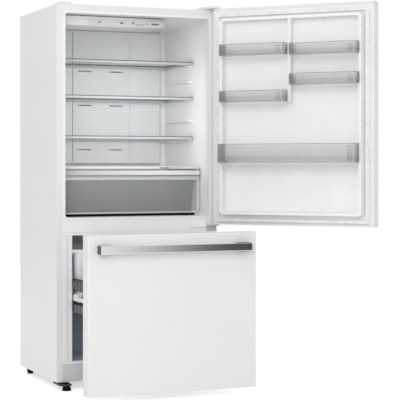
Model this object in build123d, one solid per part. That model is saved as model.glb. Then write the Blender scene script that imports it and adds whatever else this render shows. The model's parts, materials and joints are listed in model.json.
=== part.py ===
from build123d import *
import math
import os

os.makedirs("parts", exist_ok=True)

# ---------------------------------------------------------------------------
# Bottom-freezer refrigerator, millimetres, +Z up.
# Origin: on the floor under the middle of the cabinet. -Y is the front.
# Every piece is modelled shut; the last section turns the door and pulls the
# drawer out to where they stand when the refrigerator is shown open.
# ---------------------------------------------------------------------------

# cabinet
cabinet_width = 790.0
cabinet_depth = 598.0
cabinet_top = 1748.0          # above the floor
cabinet_base = 35.0           # underside of the base above the floor
sheet = 1.0                   # painted steel
return_width = 27.0           # front return of the outer sheet
corner_radius = 7.0           # long top corners of the outer sheet
liner_wall = 2.2
lip_thickness = 2.4           # front lips of both liners and the mullion cover
clearance = 0.3               # between pieces that seat on one another
slide_gap = 1.5               # each side of a piece that slides in a liner
base_sheet = 1.2

# fridge compartment, measured at its mouth
fridge_side_wall = 41.0       # cabinet side to the liner, at the mouth
fridge_half_width = cabinet_width / 2 - fridge_side_wall
fridge_floor = 778.0
top_wall = 40.0
fridge_ceiling = cabinet_top - top_wall
fridge_height = fridge_ceiling - fridge_floor
fridge_rear_wall = 53.0
fridge_depth = cabinet_depth - fridge_rear_wall
fridge_draft = 8.0            # how much each wall closes in towards the back
floor_draft = 2.4             # how much the floor rises towards the back
fridge_corner = 14.0

# freezer compartment
freezer_side_wall = 73.0
freezer_half_width = cabinet_width / 2 - freezer_side_wall
freezer_floor = 128.0
middle_wall = 80.0            # between the two compartments
freezer_ceiling = fridge_floor - middle_wall
freezer_rear_wall = 68.0
freezer_depth = cabinet_depth - freezer_rear_wall
freezer_step_height = 330.0   # floor level over the machine compartment
freezer_step_front = cabinet_depth - 268.0    # mouth to the foot of the step
freezer_step_back = cabinet_depth - 198.0     # mouth to the head of the step
lip_width = 13.0              # liner lips beside the openings

# machine compartment, behind the freezer step
machine_roof = freezer_step_height - 45.0
machine_front = cabinet_depth - 203.0       # cabinet front to the foot of the partition
machine_slope = 60.0          # how far the partition leans back
machine_cover_gap = 4.0

# doors
panel_thickness = 67.0        # box part of the door and of the drawer front
gasket_gap = 12.0             # cabinet front to the inner face of a closed door
door_side_inset = 1.0         # door edge inside the cabinet's side
door_bottom = fridge_floor - 40.0
door_top = cabinet_top + 4.0
drawer_bottom = cabinet_base - 3.0
drawer_top = door_bottom - 18.0
door_skin_sheet = 0.8
panel_edge_radius = 9.0       # rounded long front edges of both panels
cap_height = 14.0             # plastic end caps of the fridge door
gasket_inset = 20.0           # panel edge to the gasket
gasket_width = 15.0
dyke_inset = 45.0             # hinge edge to the foot of the inner frame
dyke_width = 20.0
dyke_height = 44.0            # how far the inner frame stands into the fridge
dyke_top_inset = 48.0
dyke_bottom_inset = 45.0
rib_width = 17.0              # upright between the two columns of bins
rib_height = 38.0
rib_length = 380.0
inner_wall = 2.0

# hinges
hinge_axis_inset = 11.0       # cabinet side to the hinge axis
hinge_axis_forward = 30.0     # cabinet front to the hinge axis
hinge_pin_radius = 5.0
hinge_pin_length = 12.0
hinge_plate = 4.0
hinge_clearance = 0.35
hinge_foot_depth = 8.0        # how far the middle hinge's foot stands proud of the mullion

# handles
handle_height = 33.0
handle_depth = 13.0
handle_reach = 45.0           # front face of the bar in front of the panel
handle_end_inset = 42.0       # panel edge to the end of the drawer's bar
post_length = 58.0
bar_edge_radius = 2.0
post_height = 38.0
drawer_handle_level = drawer_top - 63.0
door_handle_length = 720.0
door_handle_low = door_bottom + 92.0
door_handle_inset = 62.0      # free edge to the middle of the door's bar

# door bins (front-to-back from the inner face of the door)
bin_wall = 2.2
bin_depth = 80.0
gallon_depth = 96.0
bin_height = 52.0
gallon_height = 88.0
bin_back_height = 30.0
bin_clearance = 1.0
bin_corner = 16.0
left_bin_shares = (0.8022, 0.5699)        # floors of the bins, as shares of the fridge's height
right_bin_shares = (0.7968, 0.6495)
gallon_share = 0.2677

# shelves
shelf_shares = (0.7763, 0.5946, 0.3903)   # underside of each shelf, as a share of the height
shelf_front = 168.0           # cabinet front to the shelf's front edge
shelf_back_gap = 12.0
shelf_rim_width = 14.0
shelf_rim_height = 15.0
glass_thickness = 4.0
rib_seat = 9.0                # how far a wall rib reaches under a shelf
wall_rib_height = 7.0
spare_rib_shares = (0.6957, 0.4925)

# crisper
cover_front = 88.0            # cabinet front to the front of the cover
cover_top = fridge_floor + 232.0
cover_rim = 10.0              # thickness of the cover
cover_border = 26.0
crisper_front_gap = 3.0
crisper_wall = 2.4
crisper_taper = 14.0
crisper_rail_height = 28.0
crisper_top_gap = 6.0         # under the cover
crisper_lift = 10.0            # the window's foot above the tub's floor
slot_edge = 1.5
slider_height = 4.0
slider_width = 46.0
slider_travel = 60.0

# inside of the fridge
duct_half_width = fridge_half_width - 36.0
duct_thickness = 22.0
duct_top_gap = 14.0
duct_foot = cover_top + 12.0
slot_width = 68.0
slot_height = 9.0
slot_columns = (-88.0, 75.0)
slot_drop = 20.0              # slot below the shelf above it
control_left = 19.0 - fridge_half_width
control_right = 160.0
control_front = 66.0
control_depth = 262.0
control_height = 48.0
control_panel_left = -228.0
control_panel_height = 26.0
lens_length = 260.0
lens_depth = 70.0

# freezer drawer and baskets
evaporator_wall = freezer_depth - 78.0   # cabinet front to the evaporator cover's face
drawer_dyke_half_width = freezer_half_width - 42.0
drawer_dyke_height = 18.0
drawer_gasket_width = 11.0
rail_level = freezer_step_height + 40.0
rail_height = 44.0
rail_sheet = 3.0              # sheet of the telescopic members
rail_gap = 0.35               # between one member and the next
rail_length = evaporator_wall - 22.0
rail_start = 14.0             # cabinet front to the front of the fixed rail
moving_rail_length = rail_length - 10.0
rack_module = 3.0
pinion_teeth = 10
pinion_width = 9.0
shaft_radius = 4.0
shaft_place = rail_length - 25.0       # cabinet front to the pinion shaft, drawer shut
basket_half_width = freezer_half_width - 50.0
basket_front = 12.0           # cabinet front to the basket's front wall
basket_length = freezer_step_front - 22.0
upper_basket_rim = freezer_ceiling - 66.0
upper_basket_floor = upper_basket_rim - 160.0
basket_floor = freezer_floor + 29.0
basket_rim = upper_basket_floor - 10.0
basket_wall = 2.5
basket_taper = 14.0
upper_basket_half_width = freezer_half_width - 18.0
upper_basket_front = 12.0
upper_basket_length = evaporator_wall - 34.0
ledge_width = 16.0
ledge_height = 8.0
evaporator_cover_sheet = 3.0
fan_radius = 52.0
fan_hub_radius = 17.0
fan_depth = 22.0
fan_blades = 5
fan_level = freezer_ceiling - 96.0
motor_shaft_radius = 3.0
shaft_seat = 14.0             # how deep a motor's shaft sits in its fan

# feet
leg_inset = 40.0
leg_forward = 22.0            # cabinet front to a levelling leg, under the drawer
leg_pad_radius = 20.0
leg_pad_height = 10.0
leg_stem_radius = 5.0
leg_boss_radius = 17.0
leg_boss_height = 5.5
bracket_sheet = 6.0           # thickness of a leg's bracket
bracket_gap = 3.0             # bracket to the closed drawer above it
bracket_reach = 80.0          # how far a bracket runs back under the base
roller_radius = 16.0
roller_width = 24.0
roller_inset = 34.0
roller_forward = 62.0         # cabinet back to the roller's axle
axle_radius = 4.0

# how the refrigerator is shown: door angle and drawer travel
door_shown_open = 131.8       # degrees
drawer_shown_open = 360.0

# places that follow from the sizes above
half_width = cabinet_width / 2
front = -cabinet_depth / 2
back = cabinet_depth / 2
door_half = half_width - door_side_inset
panel_inner = front - gasket_gap            # inner face of both closed panels
panel_outer = panel_inner - panel_thickness
shelf_levels = tuple(fridge_floor + share * fridge_height for share in shelf_shares)
spare_rib_levels = tuple(fridge_floor + share * fridge_height for share in spare_rib_shares)
left_bin_levels = tuple(fridge_floor + share * fridge_height for share in left_bin_shares)
right_bin_levels = tuple(fridge_floor + share * fridge_height for share in right_bin_shares)
gallon_level = fridge_floor + gallon_share * fridge_height
hinge_x = half_width - hinge_axis_inset
hinge_y = front - hinge_axis_forward


def block(x0, x1, y0, y1, z0, z1):
    """A box between two corners."""
    size = (x1 - x0, y1 - y0, z1 - z0)
    return Pos((x0 + x1) / 2, (y0 + y1) / 2, (z0 + z1) / 2) * Box(*size)


def side_profile(points, x0, x1):
    """A closed outline of (y, z) points, carried from x0 to x1."""
    face = make_face(Polyline([(0, y, z) for y, z in points], close=True))
    return Pos(x0, 0, 0) * extrude(face, amount=x1 - x0, dir=(1, 0, 0))


def plan_profile(points, z0, z1):
    """A closed outline of (x, y) points, carried from z0 up to z1."""
    face = make_face(Polyline([(x, y, 0) for x, y in points], close=True))
    return Pos(0, 0, z0) * extrude(face, amount=z1 - z0, dir=(0, 0, 1))


def rod(radius, length, at, axis):
    """A round bar from a point along an axis."""
    return extrude(Plane(origin=at, z_dir=axis) * Circle(radius), amount=length)


def rounded_block(x0, x1, y0, y1, z0, z1, radius, along):
    """A box whose four edges along one axis are rounded."""
    body = block(x0, x1, y0, y1, z0, z1)
    return fillet(body.edges().filter_by(along), radius)


def tub(x0, x1, y0, y1, z0, z1, corner, taper, wall):
    """An open-topped drawer or bin: rounded in plan, closing in by taper at its floor."""
    def solid(inset, bottom, top):
        levels = []
        for z, shrink in ((bottom, inset + taper), (top, inset)):
            plan = RectangleRounded(x1 - x0 - 2 * shrink, y1 - y0 - 2 * shrink, max(corner - inset, 1.0))
            levels.append(Pos((x0 + x1) / 2, (y0 + y1) / 2, z) * plan)
        return loft(levels, ruled=True)
    return solid(0, z0, z1) - solid(wall, z0 + wall, z1 + 0.01)


def save(name, shape):
    """Write one piece; a group of separate solids stays one node."""
    export_step(shape, f"parts/{name}.step")


# --- cabinet ---------------------------------------------------------------


def cabinet_shell():
    """Outer steel sheet: two sides and the top in one bend, with a return round the front."""
    def arch(inset, top_inset, y0, y1, radius):
        body = block(-half_width + inset, half_width - inset, y0, y1, cabinet_base, cabinet_top - top_inset)
        top_edges = body.edges().filter_by(Axis.Y).sort_by(Axis.Z)[-2:]
        return fillet(top_edges, radius)
    body = arch(0, 0, front, back, corner_radius)
    body -= arch(sheet, sheet, front + sheet, back + 1, corner_radius - sheet)
    body -= arch(return_width, return_width, front - 1, front + 2 * sheet, corner_radius)
    return body


def back_panel():
    """Rear sheet over the foam, with three pressed stiffening beads."""
    inset = sheet + clearance
    low = machine_roof + base_sheet + clearance
    panel = block(-half_width + inset, half_width - inset, back - sheet, back, low, cabinet_top - inset)
    panel = fillet(panel.edges().filter_by(Axis.Y).sort_by(Axis.Z)[-2:], corner_radius)
    high = cabinet_top - inset
    for part in (0.25, 0.5, 0.75):
        z = low + (high - low) * part
        groove = block(-half_width + 60, half_width - 60, back - sheet / 2, back + 1, z - 6, z + 6)
        panel -= groove
    return panel


def partition_points(thickness):
    """Outline, in (y, z), of the leaning wall and roof of the machine compartment."""
    foot, head = front + machine_front, front + machine_front + machine_slope
    low = cabinet_base + base_sheet
    return [(foot, low), (head, machine_roof), (back, machine_roof), (back, machine_roof + thickness),
            (head - thickness * 0.6, machine_roof + thickness), (foot - thickness, low)]


def base_pan():
    """Floor of the cabinet and partition of the machine compartment, welded in one."""
    edge = half_width - sheet - clearance
    floor = block(-edge, edge, front + 1, back - base_sheet, cabinet_base, cabinet_base + base_sheet)
    pan = floor + side_profile(partition_points(base_sheet), -edge, edge)
    for x in (-180, -120, -60, 0, 60):
        pan -= block(x - 20, x + 20, back - 128, back - 38, cabinet_base - 1, cabinet_base + 2)
    return pan


def fridge_outline(y, grow):
    """The fridge liner's section at a distance behind its mouth, grown by a wall."""
    shrink = fridge_draft * y / fridge_depth
    w = 2 * (fridge_half_width - shrink + grow)
    low, high = floor_at(y) - grow, fridge_ceiling - shrink + grow
    plane = Plane(origin=(0, front + y, (low + high) / 2), x_dir=(1, 0, 0), z_dir=(0, 1, 0))
    return plane * RectangleRounded(w, high - low, fridge_corner + grow)


def fridge_cavity(grow, depth, start=0.0):
    """The fridge compartment's space, or its liner's outside when grown."""
    return loft([fridge_outline(start, grow), fridge_outline(depth, grow)], ruled=True)


def wall_at(y):
    """Half the width between the fridge liner's side walls, a distance behind the mouth."""
    return fridge_half_width - fridge_draft * y / fridge_depth


def floor_at(y):
    """Level of the fridge liner's floor, a distance behind the mouth."""
    return fridge_floor + floor_draft * y / fridge_depth


def fridge_liner():
    """Vacuum-formed fridge liner with its front lip and the ribs the shelves slide on."""
    liner = fridge_cavity(liner_wall, fridge_depth + liner_wall)
    lip_low, lip_high = fridge_floor - lip_width, cabinet_top - return_width - clearance
    edge = half_width - return_width - clearance
    lip = block(-edge, edge, front, front + lip_thickness, lip_low, lip_high)
    liner += fillet(lip.edges().filter_by(Axis.Y).sort_by(Axis.Z)[-2:], corner_radius + clearance)
    liner -= fridge_cavity(0, fridge_depth, -0.5)
    rib_start, rib_end = shelf_front + 30, fridge_depth - 30
    reach = wall_at(fridge_depth) - slide_gap - rib_seat
    for level in shelf_levels + spare_rib_levels:
        for side in (-1, 1):
            top = level - clearance
            outline = [(side * reach, front + rib_start + 6), (side * (reach + 6), front + rib_start),
                       (side * (wall_at(rib_start) + 1), front + rib_start),
                       (side * (wall_at(rib_end) + 1), front + rib_end), (side * reach, front + rib_end)]
            liner += plan_profile(outline, top - wall_rib_height, top)
    cover_seat = cover_top - cover_rim - clearance
    for side in (-1, 1):
        y0, y1 = cover_front + 24, fridge_depth - 30
        outline = [(side * reach, front + y0), (side * (wall_at(y0) + 1), front + y0),
                   (side * (wall_at(y1) + 1), front + y1), (side * reach, front + y1)]
        liner += plan_profile(outline, cover_seat - wall_rib_height, cover_seat)
    return liner


def freezer_points(grow, start=0.0):
    """The stepped (y, z) outline of the freezer compartment, grown by a wall."""
    slope = math.atan2(freezer_step_height - freezer_floor, freezer_step_back - freezer_step_front)
    lean = grow * math.tan(slope / 2)
    return [(front + start, freezer_floor - grow), (front + start, freezer_ceiling + grow),
            (front + freezer_depth + grow, freezer_ceiling + grow),
            (front + freezer_depth + grow, freezer_step_height - grow),
            (front + freezer_step_back + lean, freezer_step_height - grow),
            (front + freezer_step_front + lean, freezer_floor - grow)]


def freezer_cavity(grow, start=0.0):
    edge = freezer_half_width + grow
    return side_profile(freezer_points(grow, start), -edge, edge)


def freezer_liner():
    """Freezer liner with its step over the machine compartment and the upper basket's ledges."""
    liner = freezer_cavity(liner_wall)
    edge = half_width - return_width
    liner += block(-edge, edge, front, front + lip_thickness, freezer_floor - lip_width,
                   freezer_ceiling + lip_width)
    liner -= freezer_cavity(0, -0.5)
    ledge_top = upper_basket_rim - 14 - clearance
    for side in (-1, 1):
        x0, x1 = sorted((side * (freezer_half_width - ledge_width), side * (freezer_half_width + 1)))
        liner += block(x0, x1, front + 20, front + evaporator_wall - 10, ledge_top - ledge_height, ledge_top)
    return liner


def insulation_foam():
    """Foamed-in-place body between the outer sheet and both liners."""
    edge = half_width - sheet
    foam = block(-edge, edge, front + lip_thickness, back - sheet, cabinet_base + base_sheet,
                 cabinet_top - sheet)
    top_edges = foam.edges().filter_by(Axis.Y).sort_by(Axis.Z)[-2:]
    foam = fillet(top_edges, corner_radius - sheet)
    foam -= fridge_cavity(liner_wall, fridge_depth + liner_wall)
    foam -= freezer_cavity(liner_wall)
    outline = partition_points(base_sheet)
    space = [outline[5], outline[4], outline[3], (back, cabinet_base + base_sheet)]
    foam -= side_profile(space, -half_width, half_width)
    return foam


def mullion_cover():
    """Front rail between the two openings: a pressed cover with turned-in long edges."""
    low = freezer_ceiling + lip_width + clearance
    high = fridge_floor - lip_width - clearance
    edge = half_width - return_width - clearance
    cover = block(-edge, edge, front, front + lip_thickness, low, high)
    return fillet(cover.edges().filter_by(Axis.X).sort_by(Axis.Y)[:2], 1.5)


def kick_strip():
    """Front sill under the freezer opening."""
    edge = half_width - return_width - clearance
    high = freezer_floor - lip_width - clearance
    return block(-edge, edge, front, front + lip_thickness, cabinet_base, high)


# --- inside the fridge compartment ------------------------------------------


def duct_panel():
    """Raised cover of the cold-air duct on the back wall, with its outlet slots."""
    face_y = front + fridge_depth - duct_thickness
    high = fridge_ceiling - fridge_draft - duct_top_gap
    panel = block(-duct_half_width, duct_half_width, face_y, front + fridge_depth - clearance,
                  duct_foot, high)
    panel = chamfer(panel.faces().sort_by(Axis.Y)[0].edges(), 7)
    hollow = block(-duct_half_width + 60, duct_half_width - 60, face_y + 3, front + fridge_depth + 1,
                   duct_foot + 25, high - 25)
    panel -= hollow
    for level in shelf_levels[:2] + (duct_foot + 90.0,):
        for x in slot_columns:
            for row in range(3):
                z = level - slot_drop - row * (slot_height + 5)
                slot = rounded_block(x - slot_width / 2, x + slot_width / 2, face_y - 1, face_y + 4,
                                     z - slot_height / 2, z + slot_height / 2, slot_height * 0.45, Axis.Y)
                panel -= slot
    return panel


def control_housing():
    """Ceiling housing of the controls: sloping face, open underside recess for the lamp."""
    y0 = front + control_front
    y1 = y0 + control_depth
    top = fridge_ceiling - fridge_draft * (control_front + control_depth) / fridge_depth - clearance
    low = fridge_ceiling - control_height
    outline = [(y0, top), (y0 + 3, low + 4), (y0 + 7, low), (y1 - 60, low), (y1, top - 10), (y1, top)]
    body = side_profile(outline, control_left, control_right)
    window = block(control_panel_left, control_right - 14, y0 - 2, y0 + 9,
                   top - 12 - control_panel_height, top - 12)
    body -= window
    recess_x = (control_left + control_right) / 2
    recess_y = y0 + 110
    body -= block(recess_x - lens_length / 2, recess_x + lens_length / 2, recess_y - lens_depth / 2,
                  recess_y + lens_depth / 2, low - 1, low + 16)
    return body


def control_panel():
    """Key and display strip set into the housing's window."""
    y0 = front + control_front
    top = fridge_ceiling - fridge_draft * (control_front + control_depth) / fridge_depth - clearance
    high = top - 12 - clearance
    low = top - 12 - control_panel_height + clearance
    return block(control_panel_left + clearance, control_right - 14 - clearance, y0 + 3.4, y0 + 8.7, low, high)


def lamp_lens():
    """Frosted lens of the fridge lamp, in the housing's recess."""
    y = front + control_front + 110
    x = (control_left + control_right) / 2
    low = fridge_ceiling - control_height
    lens = block(x - lens_length / 2 + clearance, x + lens_length / 2 - clearance,
                 y - lens_depth / 2 + clearance, y + lens_depth / 2 - clearance, low + 0.5, low + 15.7)
    return fillet(lens.faces().sort_by(Axis.Z)[0].edges(), 3)


def shelf_parts(level):
    """Glass and moulded rim of one sliding shelf."""
    w = wall_at(fridge_depth) - slide_gap
    y0, y1 = front + shelf_front, front + fridge_depth - duct_thickness - shelf_back_gap
    rim = rounded_block(-w, w, y0, y1, level, level + shelf_rim_height, 8, Axis.Z)
    rim = fillet(rim.faces().sort_by(Axis.Y)[0].edges().filter_by(Axis.X), 3)
    r = shelf_rim_width
    rim -= block(-w + r, w - r, y0 + r, y1 - r, level - 1, level + shelf_rim_height + 1)
    g = r - 6
    seat = level + shelf_rim_height - glass_thickness - 1.5
    slot = block(-w + g, w - g, y0 + g, y1 - g, seat - clearance / 3, seat + glass_thickness + clearance / 3)
    rim -= slot
    glass = block(-w + g + clearance, w - g - clearance, y0 + g + clearance, y1 - g - clearance,
                  seat, seat + glass_thickness)
    return glass, rim


def crisper_cover():
    """Frame of the crisper's cover, with the rabbet of its glass and the humidity slot."""
    w = wall_at(fridge_depth) - slide_gap
    y0, y1 = front + cover_front, front + fridge_depth - duct_thickness - shelf_back_gap
    low, high = cover_top - cover_rim, cover_top
    b = cover_border
    frame = rounded_block(-w, w, y0, y1, low, high, 6, Axis.Z)
    frame -= block(-w + b, w - b, y0 + b, y1 - b, low - 1, high + 1)
    frame -= block(-w + 18, w - 18, y0 + b - 10, y1 - 16, high - 5 - clearance, high + 1)
    sx = slider_centre()
    frame -= block(sx - slider_width / 2 - 4, sx + slider_width / 2 + slider_travel + 4, y0 - 1, y0 + 7,
                   low + slot_edge, low + slot_edge + slider_height + 2 * clearance)
    return frame


def slider_centre():
    """Middle of the humidity slider at the left end of its slot."""
    return 165.0


def crisper_glass():
    """Glass plate over the crisper, let into the cover's rabbet."""
    w = wall_at(fridge_depth) - slide_gap
    y0, y1 = front + cover_front, front + fridge_depth - duct_thickness - shelf_back_gap
    b = cover_border
    return block(-w + 18 + clearance, w - 18 - clearance, y0 + b - 10 + clearance, y1 - 16 - clearance,
                 cover_top - 5, cover_top - 1)


def humidity_slider():
    """Slider that opens the crisper's humidity vent."""
    sx, y0 = slider_centre(), front + cover_front
    low = cover_top - cover_rim + slot_edge + clearance
    body = block(sx - slider_width / 2, sx + slider_width / 2, y0 + 1, y0 + 6.7, low, low + slider_height)
    return body + block(sx - 7, sx + 7, y0 - 3, y0 + 2, low + 0.6, low + slider_height - 0.6)


def crisper_drawer():
    """Clear full-width crisper drawer: tub, framed window and a rail to pull it by."""
    end = fridge_depth - duct_thickness - 60
    floor = floor_at(end) + clearance
    top = cover_top - cover_rim - crisper_top_gap
    w = wall_at(fridge_depth) - slide_gap - rib_seat - 3
    y0 = front + cover_front + crisper_front_gap
    body = tub(-w, w, y0 + 12, front + end, floor, top, 22, crisper_taper, crisper_wall)
    fw = wall_at(fridge_depth) - slide_gap
    foot = floor + crisper_lift
    face = rounded_block(-fw, fw, y0, y0 + 16, foot, top, 26, Axis.Y)
    face -= rounded_block(-fw + 4, fw - 4, y0 + 2.6, y0 + 17, foot + 4, top - 4, 22, Axis.Y)
    rail = rounded_block(-fw, fw, y0 - 4, y0 + 14, top - crisper_rail_height, top, 9, Axis.Y)
    rail -= block(-fw + 12, fw - 12, y0 - 1, y0 + 9, top - crisper_rail_height - 1, top - 4)
    return body + face + rail


# --- fridge door -------------------------------------------------------------


def panel_plan(inset, y_back):
    """Plan outline of a door panel: rounded outer corners, square inner ones."""
    w = door_half - inset
    y0, r = panel_outer + inset, panel_edge_radius - inset
    with BuildSketch() as plan:
        with BuildLine():
            Polyline([(-w, y0 + r), (-w, y_back), (w, y_back), (w, y0 + r)])
            RadiusArc((w, y0 + r), (w - r, y0), r)
            Line((w - r, y0), (-w + r, y0))
            RadiusArc((-w + r, y0), (-w, y0 + r), r)
        make_face()
    return plan.sketch


def panel_solid(inset, y_back, z0, z1):
    return Pos(0, 0, z0) * extrude(panel_plan(inset, y_back), amount=z1 - z0)


def door_skin():
    """Outer steel sheet of the door, wrapped round both sides."""
    z0, z1 = door_bottom + cap_height + clearance, door_top - cap_height - clearance
    skin = panel_solid(0, panel_inner, z0, z1)
    skin -= panel_solid(door_skin_sheet, panel_inner - door_skin_sheet, z0 - 1, z1 + 1)
    fold = door_half - 14
    return skin - block(-fold, fold, panel_inner - 3, panel_inner + 1, z0 - 1, z1 + 1)


def ring_solid(x0, x1, z0, z1, radius, draft, y0, y1):
    """A block over a rounded window of the inner panel, closing in by its draft."""
    def section(shrink, y):
        plane = Plane(origin=((x0 + x1) / 2, y, (z0 + z1) / 2), x_dir=(1, 0, 0), z_dir=(0, 1, 0))
        wide, high = x1 - x0 - 2 * shrink, z1 - z0 - 2 * shrink
        return plane * RectangleRounded(wide, high, min(radius, 0.45 * wide))
    return loft([section(0, y0), section(draft, y1)], ruled=True)


def door_x(s):
    """Row position, on the closed door, of a distance from the hinge edge."""
    return door_half - s


pocket_left = door_x(2 * door_half - dyke_inset - dyke_width + 2)
pocket_right = door_x(dyke_inset + dyke_width)
pocket_low = door_bottom + dyke_bottom_inset + dyke_width
pocket_high = door_top - dyke_top_inset - dyke_width


def door_dyke(inset):
    """The frame and the upright rib that stand out of the door's inner panel."""
    grow, y1 = dyke_width - inset, panel_inner + dyke_height - inset
    frame = ring_solid(pocket_left - grow, pocket_right + grow, pocket_low - grow, pocket_high + grow,
                       18, 5, panel_inner - inner_wall, y1)
    frame -= ring_solid(pocket_left - inset, pocket_right + inset, pocket_low - inset, pocket_high + inset,
                        12, -3, panel_inner - inner_wall - 1, y1 + 1)
    rib_x = (pocket_left + pocket_right) / 2
    half = rib_width / 2 - inset
    rib = ring_solid(rib_x - half, rib_x + half, pocket_high - rib_length + inset, pocket_high + 10,
                     max(half - 1, 1), 1.5, panel_inner - inner_wall, panel_inner + rib_height - inset)
    return frame + rib


def lug_places():
    """Where each bin hangs: wall x, side the lug stands out to, and the bin's floor level."""
    rib_x = (pocket_left + pocket_right) / 2
    places = []
    for level in left_bin_levels:
        places += [(pocket_right, -1, level), (rib_x + rib_width / 2, 1, level)]
    for level in right_bin_levels:
        places += [(rib_x - rib_width / 2, -1, level), (pocket_left, 1, level)]
    return places + [(pocket_right, -1, gallon_level), (pocket_left, 1, gallon_level)]


lug_length, lug_reach, lug_height = 22.0, 5.0, 8.0


def door_liner():
    """Inner panel of the door: pocket, frame, upright rib and the lugs the bins hang on."""
    edge = door_half - 14 + clearance
    z0, z1 = door_bottom + cap_height + clearance, door_top - cap_height - clearance
    liner = block(-edge + 0.6, edge - 0.6, panel_inner - inner_wall, panel_inner, z0, z1)
    liner += door_dyke(0)
    liner -= door_dyke(inner_wall) & block(-edge, edge, panel_inner - inner_wall - 5, panel_inner + 99, z0, z1)
    for x, side, level in lug_places():
        x0, x1 = sorted((x - side * 1.5, x + side * lug_reach))
        liner += block(x0, x1, panel_inner + 8, panel_inner + 8 + lug_length,
                       level + 14 - lug_height, level + 14)
    return liner


def door_foam():
    """Foam filling of the door, out into its inner frame."""
    z0, z1 = door_bottom + cap_height + clearance, door_top - cap_height - clearance
    foam = panel_solid(door_skin_sheet, panel_inner - inner_wall, z0, z1)
    return foam + door_dyke(inner_wall)


def door_end_caps():
    """Moulded caps that close the door's top and bottom, each with a bored hinge boss."""
    caps = []
    for z0 in (door_bottom, door_top - cap_height):
        cap = panel_solid(0, panel_inner, z0, z0 + cap_height)
        bore = rod(hinge_pin_radius + hinge_clearance, cap_height + 2, (hinge_x, hinge_y, z0 - 1), (0, 0, 1))
        caps.append(cap - bore)
    bottom, top = caps
    return Compound(children=[bottom, top])


def ring_gasket(x0, x1, z0, z1, width):
    """Magnetic gasket: a flat sealing face on a narrower foot, run round a panel's inner face."""
    def frame(inset, y0, y1):
        outer = rounded_block(x0 + inset, x1 - inset, y0, y1, z0 + inset, z1 - inset, 14, Axis.Y)
        w = width - inset
        return outer - rounded_block(x0 + w, x1 - w, y0 - 1, y1 + 1, z0 + w, z1 - w, 8, Axis.Y)
    y0, y1 = panel_inner, front - clearance
    body = frame(0, y1 - 4.5, y1) + frame(3.5, y0, y1 - 4)
    return body


def door_gasket():
    inset = gasket_inset
    return ring_gasket(-door_half + inset, door_half - inset, door_bottom + cap_height + 1,
                       door_top - cap_height - 12, gasket_width)


def bin_outline(x0, x1, depth, flare_left, flare_right, inset):
    """Plan outline of a door bin: narrow in the pocket, wide in front of the frame."""
    y0 = panel_inner + 3 + inset
    y_step = panel_inner + dyke_height + 2 + inset
    y1 = panel_inner + depth - inset
    left, right = x0 + inset, x1 - inset
    points = [(left, y0), (left, y_step)]
    if flare_left:
        points += [(left - flare_left, y_step + 2)]
    points += [(left - flare_left, y1), (right + flare_right, y1)]
    if flare_right:
        points += [(right + flare_right, y_step + 2)]
    return points + [(right, y_step), (right, y0)]


def door_bin(x0, x1, depth, level, height, flare_left, flare_right):
    """One clear bin that hangs on two lugs of the inner panel."""
    def solid(inset, z0, z1):
        body = plan_profile(bin_outline(x0, x1, depth, flare_left, flare_right, inset), z0, z1)
        corners = body.edges().filter_by(Axis.Z).group_by(Axis.Y)[-1]
        return fillet(corners, bin_corner - inset)
    body = solid(0, level, level + height) - solid(bin_wall, level + bin_wall, level + height + 1)
    y0 = panel_inner
    body -= block(x0 - 1, x1 + 1, y0, y0 + 3 + bin_wall + 0.1, level + bin_back_height, level + height + 1)
    body -= plan_profile([(x0 - 20, y0 + 5), (x0 - 20, y0 + 36), (x1 + 20, y0 + 36), (x1 + 20, y0 + 5)],
                         level - 1, level + 14 + clearance) & \
        (block(x0 - 20, x0 + lug_reach, y0, y0 + 40, level - 1, level + 60)
         + block(x1 - lug_reach, x1 + 20, y0, y0 + 40, level - 1, level + 60))
    for side, x in ((1, x0), (-1, x1)):
        a, b = sorted((x, x + side * (lug_reach + 2)))
        pocket = block(a, b, y0 + 3, y0 + 38, level, level + 14 + clearance + 2)
        inner = sorted((x, x + side * lug_reach))
        pocket -= block(inner[0], inner[1], y0 + 5, y0 + 36, level - 1, level + 14 + clearance)
        body += pocket
    return body


def door_bins():
    """The five bins: two to the left column, two to the right and the full-width one."""
    rib_x = (pocket_left + pocket_right) / 2
    c, flare = bin_clearance, 9.0
    inner_right, inner_left = rib_x + rib_width / 2 + c, rib_x - rib_width / 2 - c
    bins = {}
    for i, level in enumerate(left_bin_levels):
        bins[f"hinge_side_bin_{i + 1}"] = door_bin(inner_right, pocket_right - c, bin_depth, level,
                                                   bin_height, 0, flare)
    for i, level in enumerate(right_bin_levels):
        bins[f"latch_side_bin_{i + 1}"] = door_bin(pocket_left + c, inner_left, bin_depth, level,
                                                   bin_height, flare, 0)
    bins["gallon_bin"] = door_bin(pocket_left + c, pocket_right - c, gallon_depth, gallon_level,
                                  gallon_height, flare, flare)
    return bins


def bar_handle(length, upright, centre):
    """Squared bar on two posts, fixed to a panel's outer face."""
    x, z = centre
    y0 = panel_outer - handle_reach
    if upright:
        bar = rounded_block(x - handle_height / 2, x + handle_height / 2, y0, y0 + handle_depth,
                            z - length / 2, z + length / 2, bar_edge_radius, Axis.Z)
    else:
        bar = rounded_block(x - length / 2, x + length / 2, y0, y0 + handle_depth,
                            z - handle_height / 2, z + handle_height / 2, bar_edge_radius, Axis.X)
    posts = []
    for side in (-1, 1):
        offset = side * (length - post_length) / 2
        px, pz = (x, z + offset) if upright else (x + offset, z)
        dx, dz = (post_height, post_length) if upright else (post_length, post_height)
        post = rounded_block(px - dx / 2, px + dx / 2, y0 + handle_depth, panel_outer, pz - dz / 2,
                             pz + dz / 2, 3, Axis.Y)
        posts.append(post)
    return Compound(children=[bar] + posts)


def door_handle():
    return bar_handle(door_handle_length, True, (-door_half + door_handle_inset,
                                                 door_handle_low + door_handle_length / 2))


def drawer_handle():
    return bar_handle(2 * (door_half - handle_end_inset), False, (0, drawer_handle_level))


# --- hinges and covers --------------------------------------------------------


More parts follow.
